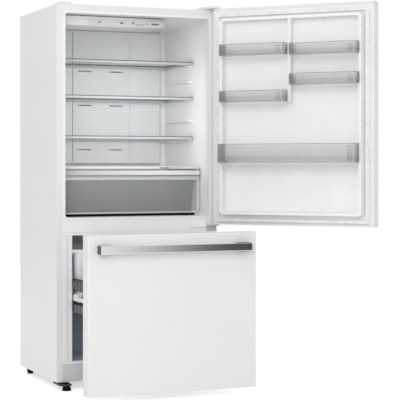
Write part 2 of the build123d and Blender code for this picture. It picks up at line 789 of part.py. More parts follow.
hinge_edge = hinge_x + 7.0                 # outer side of the top hinge's plate
hinge_foot_left = half_width - 62.0


def top_hinge():
    """Top hinge: plate on a foot on the cabinet's top, with a pin down into the door."""
    low = door_top + 2
    plan = [(hinge_edge, hinge_y - 12), (hinge_edge, front + 78), (hinge_foot_left, front + 78),
            (hinge_foot_left, front + 18), (hinge_x - 16, hinge_y - 6), (hinge_x - 8, hinge_y - 12)]
    plate = plan_profile(plan, low, low + hinge_plate)
    plate = fillet(plate.edges().filter_by(Axis.Z), 4)
    foot = block(hinge_foot_left + 4, hinge_edge - 4, front + 24, front + 76, cabinet_top, low)
    pin = rod(hinge_pin_radius, hinge_pin_length + 2, (hinge_x, hinge_y, low - hinge_pin_length), (0, 0, 1))
    for y in (front + 36, front + 64):
        for x in (half_width - 46, half_width - 22):
            foot += rod(5, 4, (x, y, low + hinge_plate - 0.5), (0, 0, 1))
    return plate + foot + pin


def middle_hinge():
    """Middle hinge: angle plate on the front of the mullion with a pin up into the door."""
    high = door_bottom - 2
    wall = block(half_width - 54, half_width - 6, front - 3.5, front, high - 29, high)
    wall += rounded_block(half_width - 137, half_width - 53, front - hinge_foot_depth, front, high - 10,
                          high + 14, 3, Axis.Y)
    arm_plan = [(hinge_x + 9, hinge_y - 12), (hinge_x + 9, front), (half_width - 54, front),
                (hinge_x - 16, hinge_y - 12)]
    arm = plan_profile(arm_plan, high - hinge_plate, high)
    arm = fillet(arm.edges().filter_by(Axis.Z).group_by(Axis.Y)[0], 6)
    pin = rod(hinge_pin_radius, hinge_pin_length, (hinge_x, hinge_y, high - 1), (0, 0, 1))
    for x in (half_width - 44, half_width - 16):
        wall += rod(5, 3, (x, front - 3, high - 20), (0, -1, 0))
    return wall + arm + pin


def hinge_covers():
    """Plastic cover over the top hinge, and its blank mate on the other corner."""
    low = cabinet_top + clearance
    roof = door_top + 2 + hinge_plate + 3.5 + clearance
    wall, right = 2.5, hinge_edge + clearance

    def plan(out, z0, z1):
        left = hinge_foot_left - 1 - out
        points = [(left, front + 5 - out), (left, front + 80 + out), (right + out, front + 80 + out),
                  (right + out, hinge_y - 13 - out), (hinge_x - 21 - out, hinge_y - 13 - out)]
        return plan_profile(points, z0, z1)

    cover = plan(wall, low, roof + wall)
    cover = chamfer(cover.faces().sort_by(Axis.Z)[-1].edges(), 2)
    cover -= plan(0, low - 1, roof)
    cover -= block(-half_width, half_width + 5, hinge_y - 40, front + 2, low - 1, door_top + 1.5)
    blank = rounded_block(-half_width + 18, -half_width + 72, front + 6, front + 84, low, low + 9, 6, Axis.Z)
    blank = chamfer(blank.faces().sort_by(Axis.Z)[-1].edges(), 2)
    return Compound(children=[cover, blank])


# --- freezer drawer -------------------------------------------------------------


def drawer_skin():
    """Outer steel sheet of the drawer front, folded round all four sides."""
    w, z0, z1 = door_half, drawer_bottom, drawer_top
    skin = panel_solid(0, panel_inner, z0, z1)
    t = door_skin_sheet
    skin -= panel_solid(t, panel_inner - t, z0 + t, z1 - t)
    return skin - block(-w + 14, w - 14, panel_inner - 3, panel_inner + 1, z0 + 14, z1 - 14)


def drawer_dyke(inset):
    """Low frame on the drawer's inner panel that fits the freezer's mouth."""
    x, z0, z1 = drawer_dyke_half_width - inset, freezer_floor + 10 + inset, freezer_ceiling - 10 - inset
    y1 = panel_inner + drawer_dyke_height - inset
    frame = ring_solid(-x, x, z0, z1, 16, 3, panel_inner - inner_wall, y1)
    w = dyke_width - 2 * inset
    return frame - ring_solid(-x + w, x - w, z0 + w, z1 - w, 10, -2, panel_inner - inner_wall - 1, y1 + 1)


def drawer_liner():
    """Inner panel of the drawer front."""
    w = door_half - 14 - clearance
    z0, z1 = drawer_bottom + 14 + clearance, drawer_top - 14 - clearance
    liner = block(-w, w, panel_inner - inner_wall, panel_inner, z0, z1) + drawer_dyke(0)
    return liner - (drawer_dyke(inner_wall) & block(-w, w, panel_inner - 9, panel_inner + 99, z0, z1))


def drawer_foam():
    """Foam filling of the drawer front."""
    t = door_skin_sheet
    foam = panel_solid(t, panel_inner - inner_wall, drawer_bottom + t, drawer_top - t)
    fold = block(-door_half, door_half, panel_inner - inner_wall - 1, panel_inner, drawer_bottom, drawer_top)
    return foam + (drawer_dyke(inner_wall) - fold) + (drawer_dyke(inner_wall) & fold)


def drawer_gasket():
    w = drawer_gasket_width
    x = freezer_half_width + 2 + w
    return ring_gasket(-x, x, freezer_floor - 2 - w, freezer_ceiling + 1 + w, w)


# --- telescopic rails with rack and pinion ----------------------------------------

rail_wall = freezer_half_width - clearance       # outer face of the fixed members
middle_half = rail_height / 2 - rail_sheet - rail_gap
inner_half = middle_half - rail_sheet - rail_gap
rack_pitch = math.pi * rack_module
pinion_radius = rack_module * pinion_teeth / 2
rack_root = rail_level + rail_height / 2 + 2.0
shaft_level = rack_root + 1.25 * rack_module + pinion_radius
frame_outer = rail_wall - 21.0                    # outer face of the basket frame's side plates


def channel(depth_from_wall, reach, half, y0, y1):
    """A C-section rail member opening away from the side wall, on the +X side."""
    x1 = rail_wall - depth_from_wall
    x0 = rail_wall - reach
    body = block(x0, x1, y0, y1, rail_level - half, rail_level + half)
    inside = half - rail_sheet
    return body - block(x0 - 1, x1 - rail_sheet, y0 - 1, y1 + 1, rail_level - inside, rail_level + inside)


def both_sides(solids):
    """The same solids on the right and, mirrored, on the left."""
    mirrored = [mirror(solid, Plane.YZ) for solid in solids]
    return Compound(children=list(solids) + mirrored)


def rack_outline():
    """(y, z) outline of the toothed rack on the fixed member: a tooth every pitch."""
    y0 = front + rail_start
    count = int(rail_length / rack_pitch)
    root, tip = rack_root, rack_root + 2 * rack_module
    points = [(y0, rail_level + rail_height / 2)]
    for i in range(count):
        y = y0 + i * rack_pitch
        points += [(y, root), (y + 0.24 * rack_pitch, root), (y + 0.39 * rack_pitch, tip),
                   (y + 0.57 * rack_pitch, tip), (y + 0.72 * rack_pitch, root)]
    return points + [(y0 + count * rack_pitch, root), (y0 + count * rack_pitch, rail_level + rail_height / 2)]


def rails_fixed():
    """Fixed members of both telescopic rails, each with its rack on top."""
    y0 = front + rail_start
    body = channel(0, 15, rail_height / 2, y0, y0 + rail_length)
    body += side_profile(rack_outline(), rail_wall - 14, rail_wall - 4)
    return both_sides([body])


def rails_middle():
    """Middle members, which travel half as far as the drawer."""
    y0 = front + rail_start
    return both_sides([channel(rail_sheet + rail_gap, 17, middle_half, y0, y0 + moving_rail_length)])


def basket_frame():
    """Drawer members of the rails with the frame that carries the basket and the pinion shaft."""
    y0, y1 = panel_inner, front + moving_rail_length + 2
    top = basket_rim - 4
    x_mid = rail_wall - 2 * (rail_sheet + rail_gap)
    member = block(frame_outer, x_mid, y0 + 3, y1, rail_level - inner_half, rail_level + inner_half)
    member -= block(frame_outer + 3, x_mid - 3, y0 + 20, y1 + 1, rail_level - inner_half + 3,
                    rail_level + inner_half - 3)
    shaft_y = front + shaft_place
    outline = [(y0, rail_level - 14), (y0, top), (front + basket_length + 14, top),
               (shaft_y + 16, shaft_level + 13), (shaft_y + 16, rail_level - 14)]
    plate = side_profile(outline, frame_outer - 3, frame_outer)
    window = [(front + 60, rail_level + 20), (front + 60, top - 14), (front + 270, top - 14),
              (front + 330, rail_level + 20)]
    plate -= side_profile(window, frame_outer - 5, frame_outer + 1)
    plate -= rod(shaft_radius + 0.4, 10, (frame_outer - 6, shaft_y, shaft_level), (1, 0, 0))
    seat_edge = basket_half_width + 3
    seat = block(seat_edge, frame_outer, front + basket_front - 6, front + basket_front + basket_length + 6,
                 top - 3, top)
    foot = block(drawer_dyke_half_width + 2, frame_outer + 8, y0, y0 + 3, rail_level - 40, top)
    half = member + plate + seat + foot
    y_bar = front + basket_front + basket_length + 12
    bar = block(-frame_outer, frame_outer, y_bar, y_bar + 3, top - 22, top)
    return half + mirror(half, Plane.YZ) + bar


def pinion(x0, phase):
    """One spur pinion on the shaft; a tooth points straight down at phase zero."""
    root_r, tip_r = pinion_radius - 1.2 * rack_module, pinion_radius + 0.9 * rack_module
    step = 2 * math.pi / pinion_teeth
    points = []
    for i in range(pinion_teeth):
        a = i * step - math.pi / 2 + phase
        for r, turn in ((root_r, -0.27), (pinion_radius, -0.20), (tip_r, -0.09),
                        (tip_r, 0.09), (pinion_radius, 0.20), (root_r, 0.27)):
            angle = a + turn * step
            points.append((r * math.cos(angle), r * math.sin(angle)))
    y, z = front + shaft_place, shaft_level
    return side_profile([(y + u, z + v) for u, v in points], x0, x0 + pinion_width)


def mesh_phase():
    """Turn that puts a pinion tooth into a rack gap where the drawer is shut."""
    gap = 0.98 * rack_pitch
    along = (shaft_place - rail_start - gap) / rack_pitch
    miss = (along - round(along)) * rack_pitch
    return -miss / pinion_radius


def pinion_shaft():
    """Cross shaft that keeps both sides of the drawer level, with a pinion on each rack."""
    y, z = front + shaft_place, shaft_level
    end = rail_wall - 3.5
    shaft = rod(shaft_radius, 2 * end, (-end, y, z), (1, 0, 0))
    for x0 in (rail_wall - 13.5, -(rail_wall - 13.5) - pinion_width):
        shaft += pinion(x0, mesh_phase())
    return shaft


def freezer_basket():
    """Deep basket hung in the frame by its rim, with slots in its sides."""
    y0 = front + basket_front
    w, y1 = basket_half_width, y0 + basket_length
    body = tub(-w, w, y0, y1, basket_floor, basket_rim, 26, basket_taper, basket_wall)
    rim_low = basket_rim - 4 + clearance
    rim = rounded_block(-w - 12, w + 12, y0 - 4, y1 + 4, rim_low, basket_rim, 20, Axis.Z)
    rim -= rounded_block(-w + 2, w - 2, y0 + 2, y1 - 2, rim_low - 1, basket_rim + 1, 22, Axis.Z)
    body += rim
    for i in range(7):
        x = (i - 3) * 68
        for z in (300, 380):
            body -= rounded_block(x - 9, x + 9, y0 - 5, y1 + 5, z - 28, z + 28, 8, Axis.Y)
    return body


def upper_basket():
    """Shallow basket that slides on the liner's ledges above the drawer."""
    w, y0 = upper_basket_half_width, front + upper_basket_front
    y1 = y0 + upper_basket_length
    body = tub(-w, w, y0, y1, upper_basket_floor, upper_basket_rim, 24, 8, basket_wall)
    edge = freezer_half_width - slide_gap
    rim = rounded_block(-edge, edge, y0, y1, upper_basket_rim - 14, upper_basket_rim, 10, Axis.Z)
    rim -= rounded_block(-w + 2, w - 2, y0 + 2, y1 - 2, upper_basket_rim - 15, upper_basket_rim + 1, 22, Axis.Z)
    rim -= block(-edge - 1, -w - 2, y0 - 1, y1 + 1, upper_basket_rim - 15, upper_basket_rim - 3) \
        & block(-edge + 2.5, -w - 2, y0 + 3, y1 - 3, upper_basket_rim - 15, upper_basket_rim - 3)
    rim -= block(w + 2, edge - 2.5, y0 + 3, y1 - 3, upper_basket_rim - 15, upper_basket_rim - 3)
    return body + rim


# --- cooling system -----------------------------------------------------------


def evaporator_cover():
    """Rear wall of the freezer: fan outlet grille above, return slots below."""
    y0 = front + evaporator_wall
    w = freezer_half_width - clearance
    low, high = freezer_step_height + clearance, freezer_ceiling - clearance
    cover = block(-w, w, y0, y0 + evaporator_cover_sheet, low, high)
    lip = 12
    for z0, z1 in ((low, low + 2.5), (high - 2.5, high)):
        cover += block(-w, w, y0, y0 + lip, z0, z1)
    for i in range(9):
        z = fan_level - 44 + i * 11
        reach = math.sqrt(50.0 ** 2 - (z - fan_level) ** 2)
        cover -= block(-reach, reach, y0 - 1, y0 + 5, z - 3, z + 3)
    for i in range(12):
        x = (i - 5.5) * 46
        cover -= rounded_block(x - 15, x + 15, y0 - 1, y0 + 5, low + 18, low + 30, 5, Axis.Y)
    return cover


def evaporator_coil():
    """Finned evaporator: two rows of tube through a pack of fins."""
    y0 = front + evaporator_wall + 18
    coil = None
    rows = [freezer_step_height + 26 + i * 30 for i in range(6)]
    half = 232.0
    for row, z in enumerate(rows):
        for y in (y0 + 8, y0 + 36):
            tube = rod(4, 2 * half, (-half, y, z), (1, 0, 0))
            coil = tube if coil is None else coil + tube
    for i in range(9):
        x = (i - 4) * 52
        coil += block(x - 1, x + 1, y0, y0 + 44, rows[0] - 12, rows[-1] + 12)
    for i, z in enumerate(rows[:-1]):
        side = 1 if i % 2 else -1
        x0, x1 = sorted((side * (half - 6), side * (half + 4)))
        coil += block(x0, x1, y0 + 4, y0 + 12, z - 4, z + 34)
        coil += block(x0, x1, y0 + 32, y0 + 40, z - 4, z + 34)
    seat_y = front + evaporator_wall + evaporator_cover_sheet + clearance
    for x in (-208, 208):
        coil += block(x - 1, x + 1, seat_y, y0 + 1, rows[1], rows[-2])
    return coil


def fan_blade(radius, hub, depth, blades, centre, pitch_angle):
    """Axial fan: hub with twisted blades, its axis along Y and its bore open towards +Y."""
    x, y, z = centre
    wheel = rod(hub, depth, (x, y - depth / 2, z), (0, 1, 0))
    for i in range(blades):
        sections = []
        for r, chord, lean in ((hub - 2, 16, pitch_angle), (radius, 30, pitch_angle - 14)):
            plane = Plane(origin=(0, 0, r), x_dir=(math.cos(math.radians(lean)),
                                                   math.sin(math.radians(lean)), 0), z_dir=(0, 0, 1))
            sections.append(plane * Rectangle(chord, 1.8))
        blade = loft(sections, ruled=True)
        wheel += Pos(x, y, z) * Rot(0, i * 360 / blades, 0) * blade
    seat = y + depth / 2 - shaft_seat - clearance
    bore = rod(motor_shaft_radius + clearance, shaft_seat + clearance, (x, seat, z), (0, 1, 0))
    return wheel - bore


def evaporator_fan():
    return fan_blade(fan_radius - 6, fan_hub_radius, fan_depth, fan_blades,
                     (0, front + evaporator_wall + 20, fan_level), 40)


def motor_on_bracket(centre, radius, length, arm):
    """Small motor can with its shaft towards -Y, on a three-armed bracket."""
    x, y, z = centre
    body = rod(radius, length, (x, y, z), (0, 1, 0))
    body = chamfer(body.faces().sort_by(Axis.Y)[-1].edges(), 3)
    for i in range(3):
        bar = block(-4, 4, 0, 3, radius - 4, arm)
        body += Pos(x, y + length * 0.4, z) * Rot(0, i * 120, 0) * bar
    return body


def evaporator_fan_motor():
    y = front + evaporator_wall + 20 + fan_depth / 2
    motor = motor_on_bracket((0, y + 2, fan_level), 21, 26, 68)
    motor += rod(motor_shaft_radius, shaft_seat + 3, (0, y - shaft_seat, fan_level), (0, 1, 0))
    ring_y = y + 2 + 26 * 0.4
    ring = rod(70, 3, (0, ring_y, fan_level), (0, 1, 0)) - rod(62, 5, (0, ring_y - 1, fan_level), (0, 1, 0))
    post_y = front + evaporator_wall + evaporator_cover_sheet + clearance
    post = rod(4, ring_y - post_y + 1, (66, post_y, 0), (0, 1, 0))
    for i in range(4):
        ring += Pos(0, 0, fan_level) * Rot(0, 45 + i * 90, 0) * post
    return motor + ring


compressor_x = 235.0
machine_y = back - 87.0       # middle of the compressor and the condenser
machine_floor = cabinet_base + base_sheet
shroud_x = -84.0
pan_height = 22.0
condenser_fan_level = machine_floor + 92.0


def compressor():
    """Hermetic compressor: domed two-part shell on a foot plate with rubber grommets."""
    x, y, z = compressor_x, machine_y, machine_floor
    with BuildPart() as can:
        with BuildSketch(Plane.XZ) as half_section:
            with BuildLine():
                Polyline([(0, 22), (56, 22)])
                RadiusArc((56, 22), (74, 44), -24)
                Polyline([(74, 44), (74, 96), (78, 96), (78, 103), (74, 103), (74, 128)])
                RadiusArc((74, 128), (40, 160), -36)
                Polyline([(40, 160), (0, 166), (0, 22)])
            make_face()
        revolve(axis=Axis.Z)
    body = Pos(x, y, z) * can.part
    foot = rounded_block(x - 82, x + 82, y - 68, y + 68, z + 14, z + 18, 14, Axis.Z)
    body += foot + block(x - 50, x + 50, y - 40, y + 40, z + 17, z + 30)
    for dx in (-68, 68):
        for dy in (-54, 54):
            body += rod(9, 14, (x + dx, y + dy, z), (0, 0, 1))
    body += rounded_block(x - 98, x - 68, y - 26, y + 26, z + 62, z + 112, 6, Axis.X)
    for dy, lift in ((-30, 40), (30, 60)):
        body += rod(4, 30, (x + 60, y + dy, z + 140), (0, 0, 1))
        body += rod(4, lift, (x + 60, y + dy, z + 166), (-1, 0, 0))
    return body


def condenser_coil():
    """Forced-draught condenser: flat serpentine layers held by two end plates."""
    x0, x1 = -330.0, -120.0
    y0, y1 = back - 150, back - 34
    low = machine_floor + 34
    coil = None
    for layer in range(4):
        z = low + layer * 30
        for i in range(6):
            y = y0 + 12 + i * (y1 - y0 - 24) / 5
            tube = rod(3.2, x1 - x0, (x0, y, z), (1, 0, 0))
            coil = tube if coil is None else coil + tube
    rest = machine_floor + pan_height + clearance
    for x in (x0 + 14, x1 - 17):
        coil += block(x, x + 3, y0, y1, rest, low + 104)
        coil += block(x - 6, x + 3, y0 - 12, y1 + 12, rest, rest + 3)
    return coil


def condenser_shroud():
    """Shroud plate of the condenser fan, with the motor on its arms."""
    x = shroud_x
    z = condenser_fan_level
    y0, y1 = machine_y - 62, machine_y + 70
    plate = rounded_block(x, x + 3, y0, y1, machine_floor, z + 66, 8, Axis.X)
    plate -= rod(54, 10, (x - 4, machine_y, z), (1, 0, 0))
    plate += block(x, x + 26, y0, y1, machine_floor, machine_floor + 3)
    motor = rod(24, 36, (x + 30, machine_y, z), (1, 0, 0))
    motor = chamfer(motor.faces().sort_by(Axis.X)[-1].edges(), 4)
    arms = None
    for i in range(3):
        bar = block(0, 36, -4, 4, 20, 60) - block(3, 33, -5, 5, 0, 55)
        bar = Pos(x, machine_y, z) * Rot(i * 120, 0, 0) * bar
        arms = bar if arms is None else arms + bar
    hub = block(x + 30, x + 36, machine_y - 4, machine_y + 4, z - 24, z + 24)
    reach = x + 14 + 10 - shaft_seat
    shaft = rod(motor_shaft_radius, x + 31 - reach, (reach, machine_y, z), (1, 0, 0))
    return plate + motor + arms + hub + shaft


def condenser_fan():
    blade = fan_blade(47, 15, 20, 5, (0, 0, 0), 40)
    return Pos(shroud_x + 14, machine_y, condenser_fan_level) * Rot(0, 0, -90) * blade


def drain_pan():
    """Evaporating pan for the melt water, under the condenser."""
    return tub(-345, -105, back - 162, back - 22, machine_floor, machine_floor + pan_height, 12, 3, 2)


def machine_cover():
    """Rear cover of the machine compartment, slotted for air."""
    w = half_width - sheet - clearance
    low, high = machine_floor + machine_cover_gap, machine_roof - clearance
    y0 = back - 1.2
    cover = block(-w, w, y0, back, low, high)
    for side in (-1, 1):
        for row in range(7):
            for column in range(3):
                x = side * (90 + column * 88)
                z = low + 50 + row * 24
                cover -= rounded_block(x - 34, x + 34, y0 - 1, back + 1, z - 4, z + 4, 3.5, Axis.Y)
    return cover


# --- feet and rollers ------------------------------------------------------------


bracket_top = drawer_bottom - bracket_gap


def leg_bracket(side):
    """Arm under the base that carries a levelling leg in front of the cabinet."""
    x0, x1 = sorted((side * (half_width - 4), side * (half_width - 62)))
    y0, y1 = front - leg_forward - 20, front + bracket_reach
    low = bracket_top - bracket_sheet
    arm = rounded_block(x0, x1, y0, y1, low, bracket_top, 14, Axis.Z)
    arm += block(x0 + 3, x1 - 3, front + 6, y1 - 4, bracket_top - 1, cabinet_base + base_sheet / 2)
    x, y = side * (half_width - leg_inset), front - leg_forward
    arm += rod(leg_boss_radius, leg_boss_height + 1, (x, y, low - leg_boss_height), (0, 0, 1))
    return arm - rod(leg_stem_radius + clearance, bracket_sheet + leg_boss_height + 2,
                     (x, y, low - leg_boss_height - 1), (0, 0, 1))


def levelling_leg(side):
    """Levelling leg: broad pad on the floor, hexagon and a stem up through its bracket."""
    x, y = side * (half_width - leg_inset), front - leg_forward
    pad = rod(leg_pad_radius, leg_pad_height, (x, y, 0), (0, 0, 1))
    pad = chamfer(pad.faces().sort_by(Axis.Z)[-1].edges(), 2)
    hexagon = extrude(Plane(origin=(x, y, leg_pad_height)) * RegularPolygon(14, 6), amount=7)
    stem = rod(leg_stem_radius, bracket_top + 1 - leg_pad_height, (x, y, leg_pad_height), (0, 0, 1))
    return pad + hexagon + stem


def roller_bracket(side):
    """Pressed bracket that carries a rear roller under the base."""
    x, y = side * (half_width - roller_inset), back - roller_forward
    z = roller_radius
    half = roller_width / 2
    bracket = block(x - half - 14, x + half + 14, y - 24, y + 24, cabinet_base - 2, cabinet_base)
    for cheek in (x - half - 3.5, x + half + 1):
        outline = [(y - 20, cabinet_base - 1), (y - 8, z - 7), (y + 8, z - 7), (y + 20, cabinet_base - 1)]
        bracket += side_profile(outline, cheek, cheek + 2.5)
    bracket += rod(axle_radius, roller_width + 9, (x - half - 4.5, y, z), (1, 0, 0))
    return bracket


def rear_roller(side):
    """Plastic roller with a slightly crowned tread."""
    x, y = side * (half_width - roller_inset), back - roller_forward
    half = roller_width / 2
    wheel = rod(roller_radius, roller_width, (x - half, y, roller_radius), (1, 0, 0))
    wheel = chamfer(wheel.edges().filter_by(GeomType.CIRCLE), 1.5)
    return wheel - rod(axle_radius + 0.35, roller_width + 2, (x - half - 1, y, roller_radius), (1, 0, 0))


# --- the whole refrigerator ---------------------------------------------------------


def cabinet_pieces():
    """Everything that stays with the cabinet."""
    base = base_pan() + kick_strip()
    for side in (-1, 1):
        base += roller_bracket(side) + leg_bracket(side)
    return {
        "cabinet_shell": cabinet_shell(), "back_panel": back_panel(), "base_pan": base,
        "insulation_foam": insulation_foam(), "fridge_liner": fridge_liner(),
        "freezer_liner": freezer_liner(), "mullion_cover": mullion_cover(),
        "air_duct_panel": duct_panel(), "control_housing": control_housing(),
        "control_panel": control_panel(), "lamp_lens": lamp_lens(),
        "evaporator_cover": evaporator_cover(), "evaporator_coil": evaporator_coil(),
        "evaporator_fan_motor": evaporator_fan_motor(), "compressor": compressor(),
        "condenser_coil": condenser_coil(), "condenser_shroud": condenser_shroud(),
        "drain_pan": drain_pan(), "machine_cover": machine_cover(), "top_hinge": top_hinge(),
        "middle_hinge": middle_hinge(), "hinge_covers": hinge_covers(), "rails_fixed": rails_fixed(),
    }


def small_moving_pieces():
    """Fans, feet, rollers, shelves and the crisper, each where it rests."""
    pieces = {"evaporator_fan": evaporator_fan(), "condenser_fan": condenser_fan()}
    for side, name in ((-1, "left"), (1, "right")):
        pieces[f"leg_{name}"] = levelling_leg(side)
        pieces[f"roller_{name}"] = rear_roller(side)
    for i, level in enumerate(shelf_levels):
        glass, rim = shelf_parts(level)
        pieces[f"shelf_glass_{i + 1}"] = glass
        pieces[f"shelf_rim_{i + 1}"] = rim
    pieces["crisper_cover"] = crisper_cover()
    pieces["crisper_glass"] = crisper_glass()
    pieces["humidity_slider"] = humidity_slider()
    pieces["crisper_drawer"] = crisper_drawer()
    pieces["upper_basket"] = upper_basket()
    return pieces


def door_pieces():
    """The fridge door, shut."""
    pieces = {"door_skin": door_skin(), "door_liner": door_liner(), "door_foam": door_foam(),
              "door_end_caps": door_end_caps(), "door_gasket": door_gasket(), "door_handle": door_handle()}
    pieces.update(door_bins())
    return pieces


def drawer_pieces():
    """The freezer drawer, shut."""
    return {"drawer_skin": drawer_skin(), "drawer_liner": drawer_liner(), "drawer_foam": drawer_foam(),
            "drawer_gasket": drawer_gasket(), "drawer_handle": drawer_handle(),
            "basket_frame": basket_frame(), "freezer_basket": freezer_basket()}


def opened_door(shape):
    """Turn a closed door's piece about the hinge axis to where the door is shown."""
    return Pos(hinge_x, hinge_y, 0) * Rot(0, 0, door_shown_open) * Pos(-hinge_x, -hinge_y, 0) * shape


def pulled(shape, travel):
    """Move a shut drawer's piece out towards the front."""
    return Pos(0, -travel, 0) * shape


def rolled_shaft():
    """The pinion shaft where the drawer is shown: moved out and turned along its racks."""
    y, z = front + shaft_place, shaft_level
    turn = math.degrees(drawer_shown_open / pinion_radius)
    turned = Pos(0, y, z) * Rot(turn, 0, 0) * Pos(0, -y, -z) * pinion_shaft()
    return pulled(turned, drawer_shown_open)


for name, shape in cabinet_pieces().items():
    save(name, shape)
for name, shape in small_moving_pieces().items():
    save(name, shape)
for name, shape in door_pieces().items():
    save(name, opened_door(shape))
for name, shape in drawer_pieces().items():
    save(name, pulled(shape, drawer_shown_open))
save("rails_middle", pulled(rails_middle(), drawer_shown_open / 2))
save("pinion_shaft", rolled_shaft())
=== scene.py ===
import json
import math

import bmesh
import bpy
import numpy as np
from bpy.props import FloatProperty, FloatVectorProperty, PointerProperty
from mathutils import Matrix, Vector


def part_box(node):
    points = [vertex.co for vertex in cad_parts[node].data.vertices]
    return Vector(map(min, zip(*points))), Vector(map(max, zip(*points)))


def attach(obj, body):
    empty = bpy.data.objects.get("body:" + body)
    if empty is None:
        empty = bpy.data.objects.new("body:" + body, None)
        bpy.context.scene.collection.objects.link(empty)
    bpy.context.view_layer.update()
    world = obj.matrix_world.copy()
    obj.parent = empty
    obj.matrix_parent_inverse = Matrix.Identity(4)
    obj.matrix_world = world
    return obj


bl_info = {
    "name": "Bottom-freezer refrigerator",
    "version": (1, 0, 0),
    "blender": (4, 5, 0),
    "location": "3D View > Sidebar > Refrigerator",
    "description": "Finishes and fine pieces of a refrigerator with a pull-out freezer drawer",
    "category": "Object",
}

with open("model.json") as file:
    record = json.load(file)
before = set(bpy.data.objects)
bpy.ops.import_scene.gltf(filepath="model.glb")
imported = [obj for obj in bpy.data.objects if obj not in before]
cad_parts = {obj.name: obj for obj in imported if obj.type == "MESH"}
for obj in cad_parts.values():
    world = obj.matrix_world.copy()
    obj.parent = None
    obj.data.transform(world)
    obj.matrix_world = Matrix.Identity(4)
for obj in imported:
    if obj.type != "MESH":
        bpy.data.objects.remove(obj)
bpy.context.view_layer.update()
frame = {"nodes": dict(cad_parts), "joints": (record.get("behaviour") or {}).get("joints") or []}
joints = {joint["name"]: joint for joint in frame["joints"]}

# The frame has the door open and the drawer pulled out. These are measured from shut.
door_axis = np.array([*joints["door_hinge"]["pos_m"][:2], 0.0])
door_turn = math.radians(-joints["door_hinge"]["range_deg"][0])
door_rotation = np.array([[math.cos(door_turn), -math.sin(door_turn), 0.0],
                          [math.sin(door_turn), math.cos(door_turn), 0.0],
                          [0.0, 0.0, 1.0]])
drawer_pull = -joints["drawer_slide"]["range_m"][0]

cabinet_low, cabinet_high = (np.array(corner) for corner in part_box("cabinet_shell"))
front_y = cabinet_low[1]
crisper_low, crisper_high = (np.array(corner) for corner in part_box("crisper_drawer"))
panel_low, panel_high = (np.array(corner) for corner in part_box("control_panel"))
mouth_low, mouth_high = (np.array(corner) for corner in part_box("freezer_liner"))

duct_columns = (-0.088, 0.075)   # middles of the duct's two columns of outlets
duct_low_drop = 0.029            # how much lower the outlets under the third shelf sit
duct_seam_x = 0.150              # both edges of the duct's middle column
lip_bead_x = 0.345               # beads at both sides of the freezer's mouth
hinge_split = 0.338              # where the middle hinge turns from white to grey
door_bins = ("hinge_side_bin_1", "hinge_side_bin_2", "latch_side_bin_1", "latch_side_bin_2",
             "gallon_bin")


# --- settings --------------------------------------------------------------------


def length(name, description, default, high=5.0):
    return FloatProperty(name=name, description=description, default=default, min=0.0, max=high,
                         unit="LENGTH", precision=4)


def number(name, description, default, unit="NONE"):
    return FloatProperty(name=name, description=description, default=default, unit=unit)


def tone(name, description, default):
    return FloatVectorProperty(name=name, description=description, default=default, size=3,
                               min=0.0, max=1.0, subtype="COLOR")


class CabinetSettings(bpy.types.PropertyGroup):
    enamel: tone("Enamel", "Baked enamel of the outer sheets", (0.80, 0.80, 0.80))
    enamel_shade: tone("Enamel shade", "Second tone of the enamel", (0.785, 0.785, 0.79))
    zinc: tone("Zinc", "Coated sheet of the back and base", (0.46, 0.48, 0.49))
    sill: tone("Sill", "Grey paint of the base under the freezer", (0.66, 0.66, 0.67))
    peel: length("Peel", "Depth of the enamel's orange peel", 0.00004)


class LinerSettings(bpy.types.PropertyGroup):
    white: tone("Liner white", "Formed liner of the fridge", (0.88, 0.88, 0.885))
    # Painted shade: this blue grey darkens the inside of the freezer's liner.
    grey: tone("Freezer grey", "Formed liner of the freezer", (0.58, 0.64, 0.75))
    lip: tone("Freezer lip", "Paler front edge of the freezer's liner", (0.85, 0.85, 0.85))


class ClearSettings(bpy.types.PropertyGroup):
    shelf: tone("Shelf glass", "Toughened glass of the shelves", (0.86, 0.93, 0.91))
    smoke: tone("Smoke", "Tinted clear moulding of the door bins", (0.33, 0.34, 0.35))
    clear: tone("Clear", "Clear moulding of the crisper", (0.90, 0.92, 0.93))


class MetalSettings(bpy.types.PropertyGroup):
    bar: tone("Bar", "Brushed metal of the handles", (0.80, 0.80, 0.80))
    bar_depth: length("Bar depth", "Thickness of the handles' bars", 0.013)
    rail: tone("Rail", "Zinc-plated strip of the rails", (0.55, 0.56, 0.58))


class StageSettings(bpy.types.PropertyGroup):
    camera_place: FloatVectorProperty(name="Camera place", description="Where the camera stands",
                                      default=(-2.2611, -6.2781, 1.0123), size=3, unit="LENGTH")
    camera_turn: number("Camera turn", "How far the camera looks to the right",
                        math.radians(23.26), "ROTATION")
    lens: number("Lens", "Focal length on a 36 mm sensor", 124.24, "CAMERA")
    horizon_shift: number("Horizon shift", "Vertical shift of the lens", -0.0847)
    floor_size: length("Floor size", "Side of the floor", 14.0, high=40.0)
    floor_glow: number("Floor glow", "White of the floor in the views", 0.60)
    room: number("Room", "Strength of the even light around", 0.72)
    key: number("Key", "Power of the lamp at the front left", 99.0, "POWER")
    fill: number("Fill", "Power of the lamp at the right", 4.0, "POWER")
    inside: number("Inside", "Power of the light into the fridge", 1.12, "POWER")


# --- materials -------------------------------------------------------------------

materials = {}
fine_grain = 0.00003   # relief of a moulded or coated surface


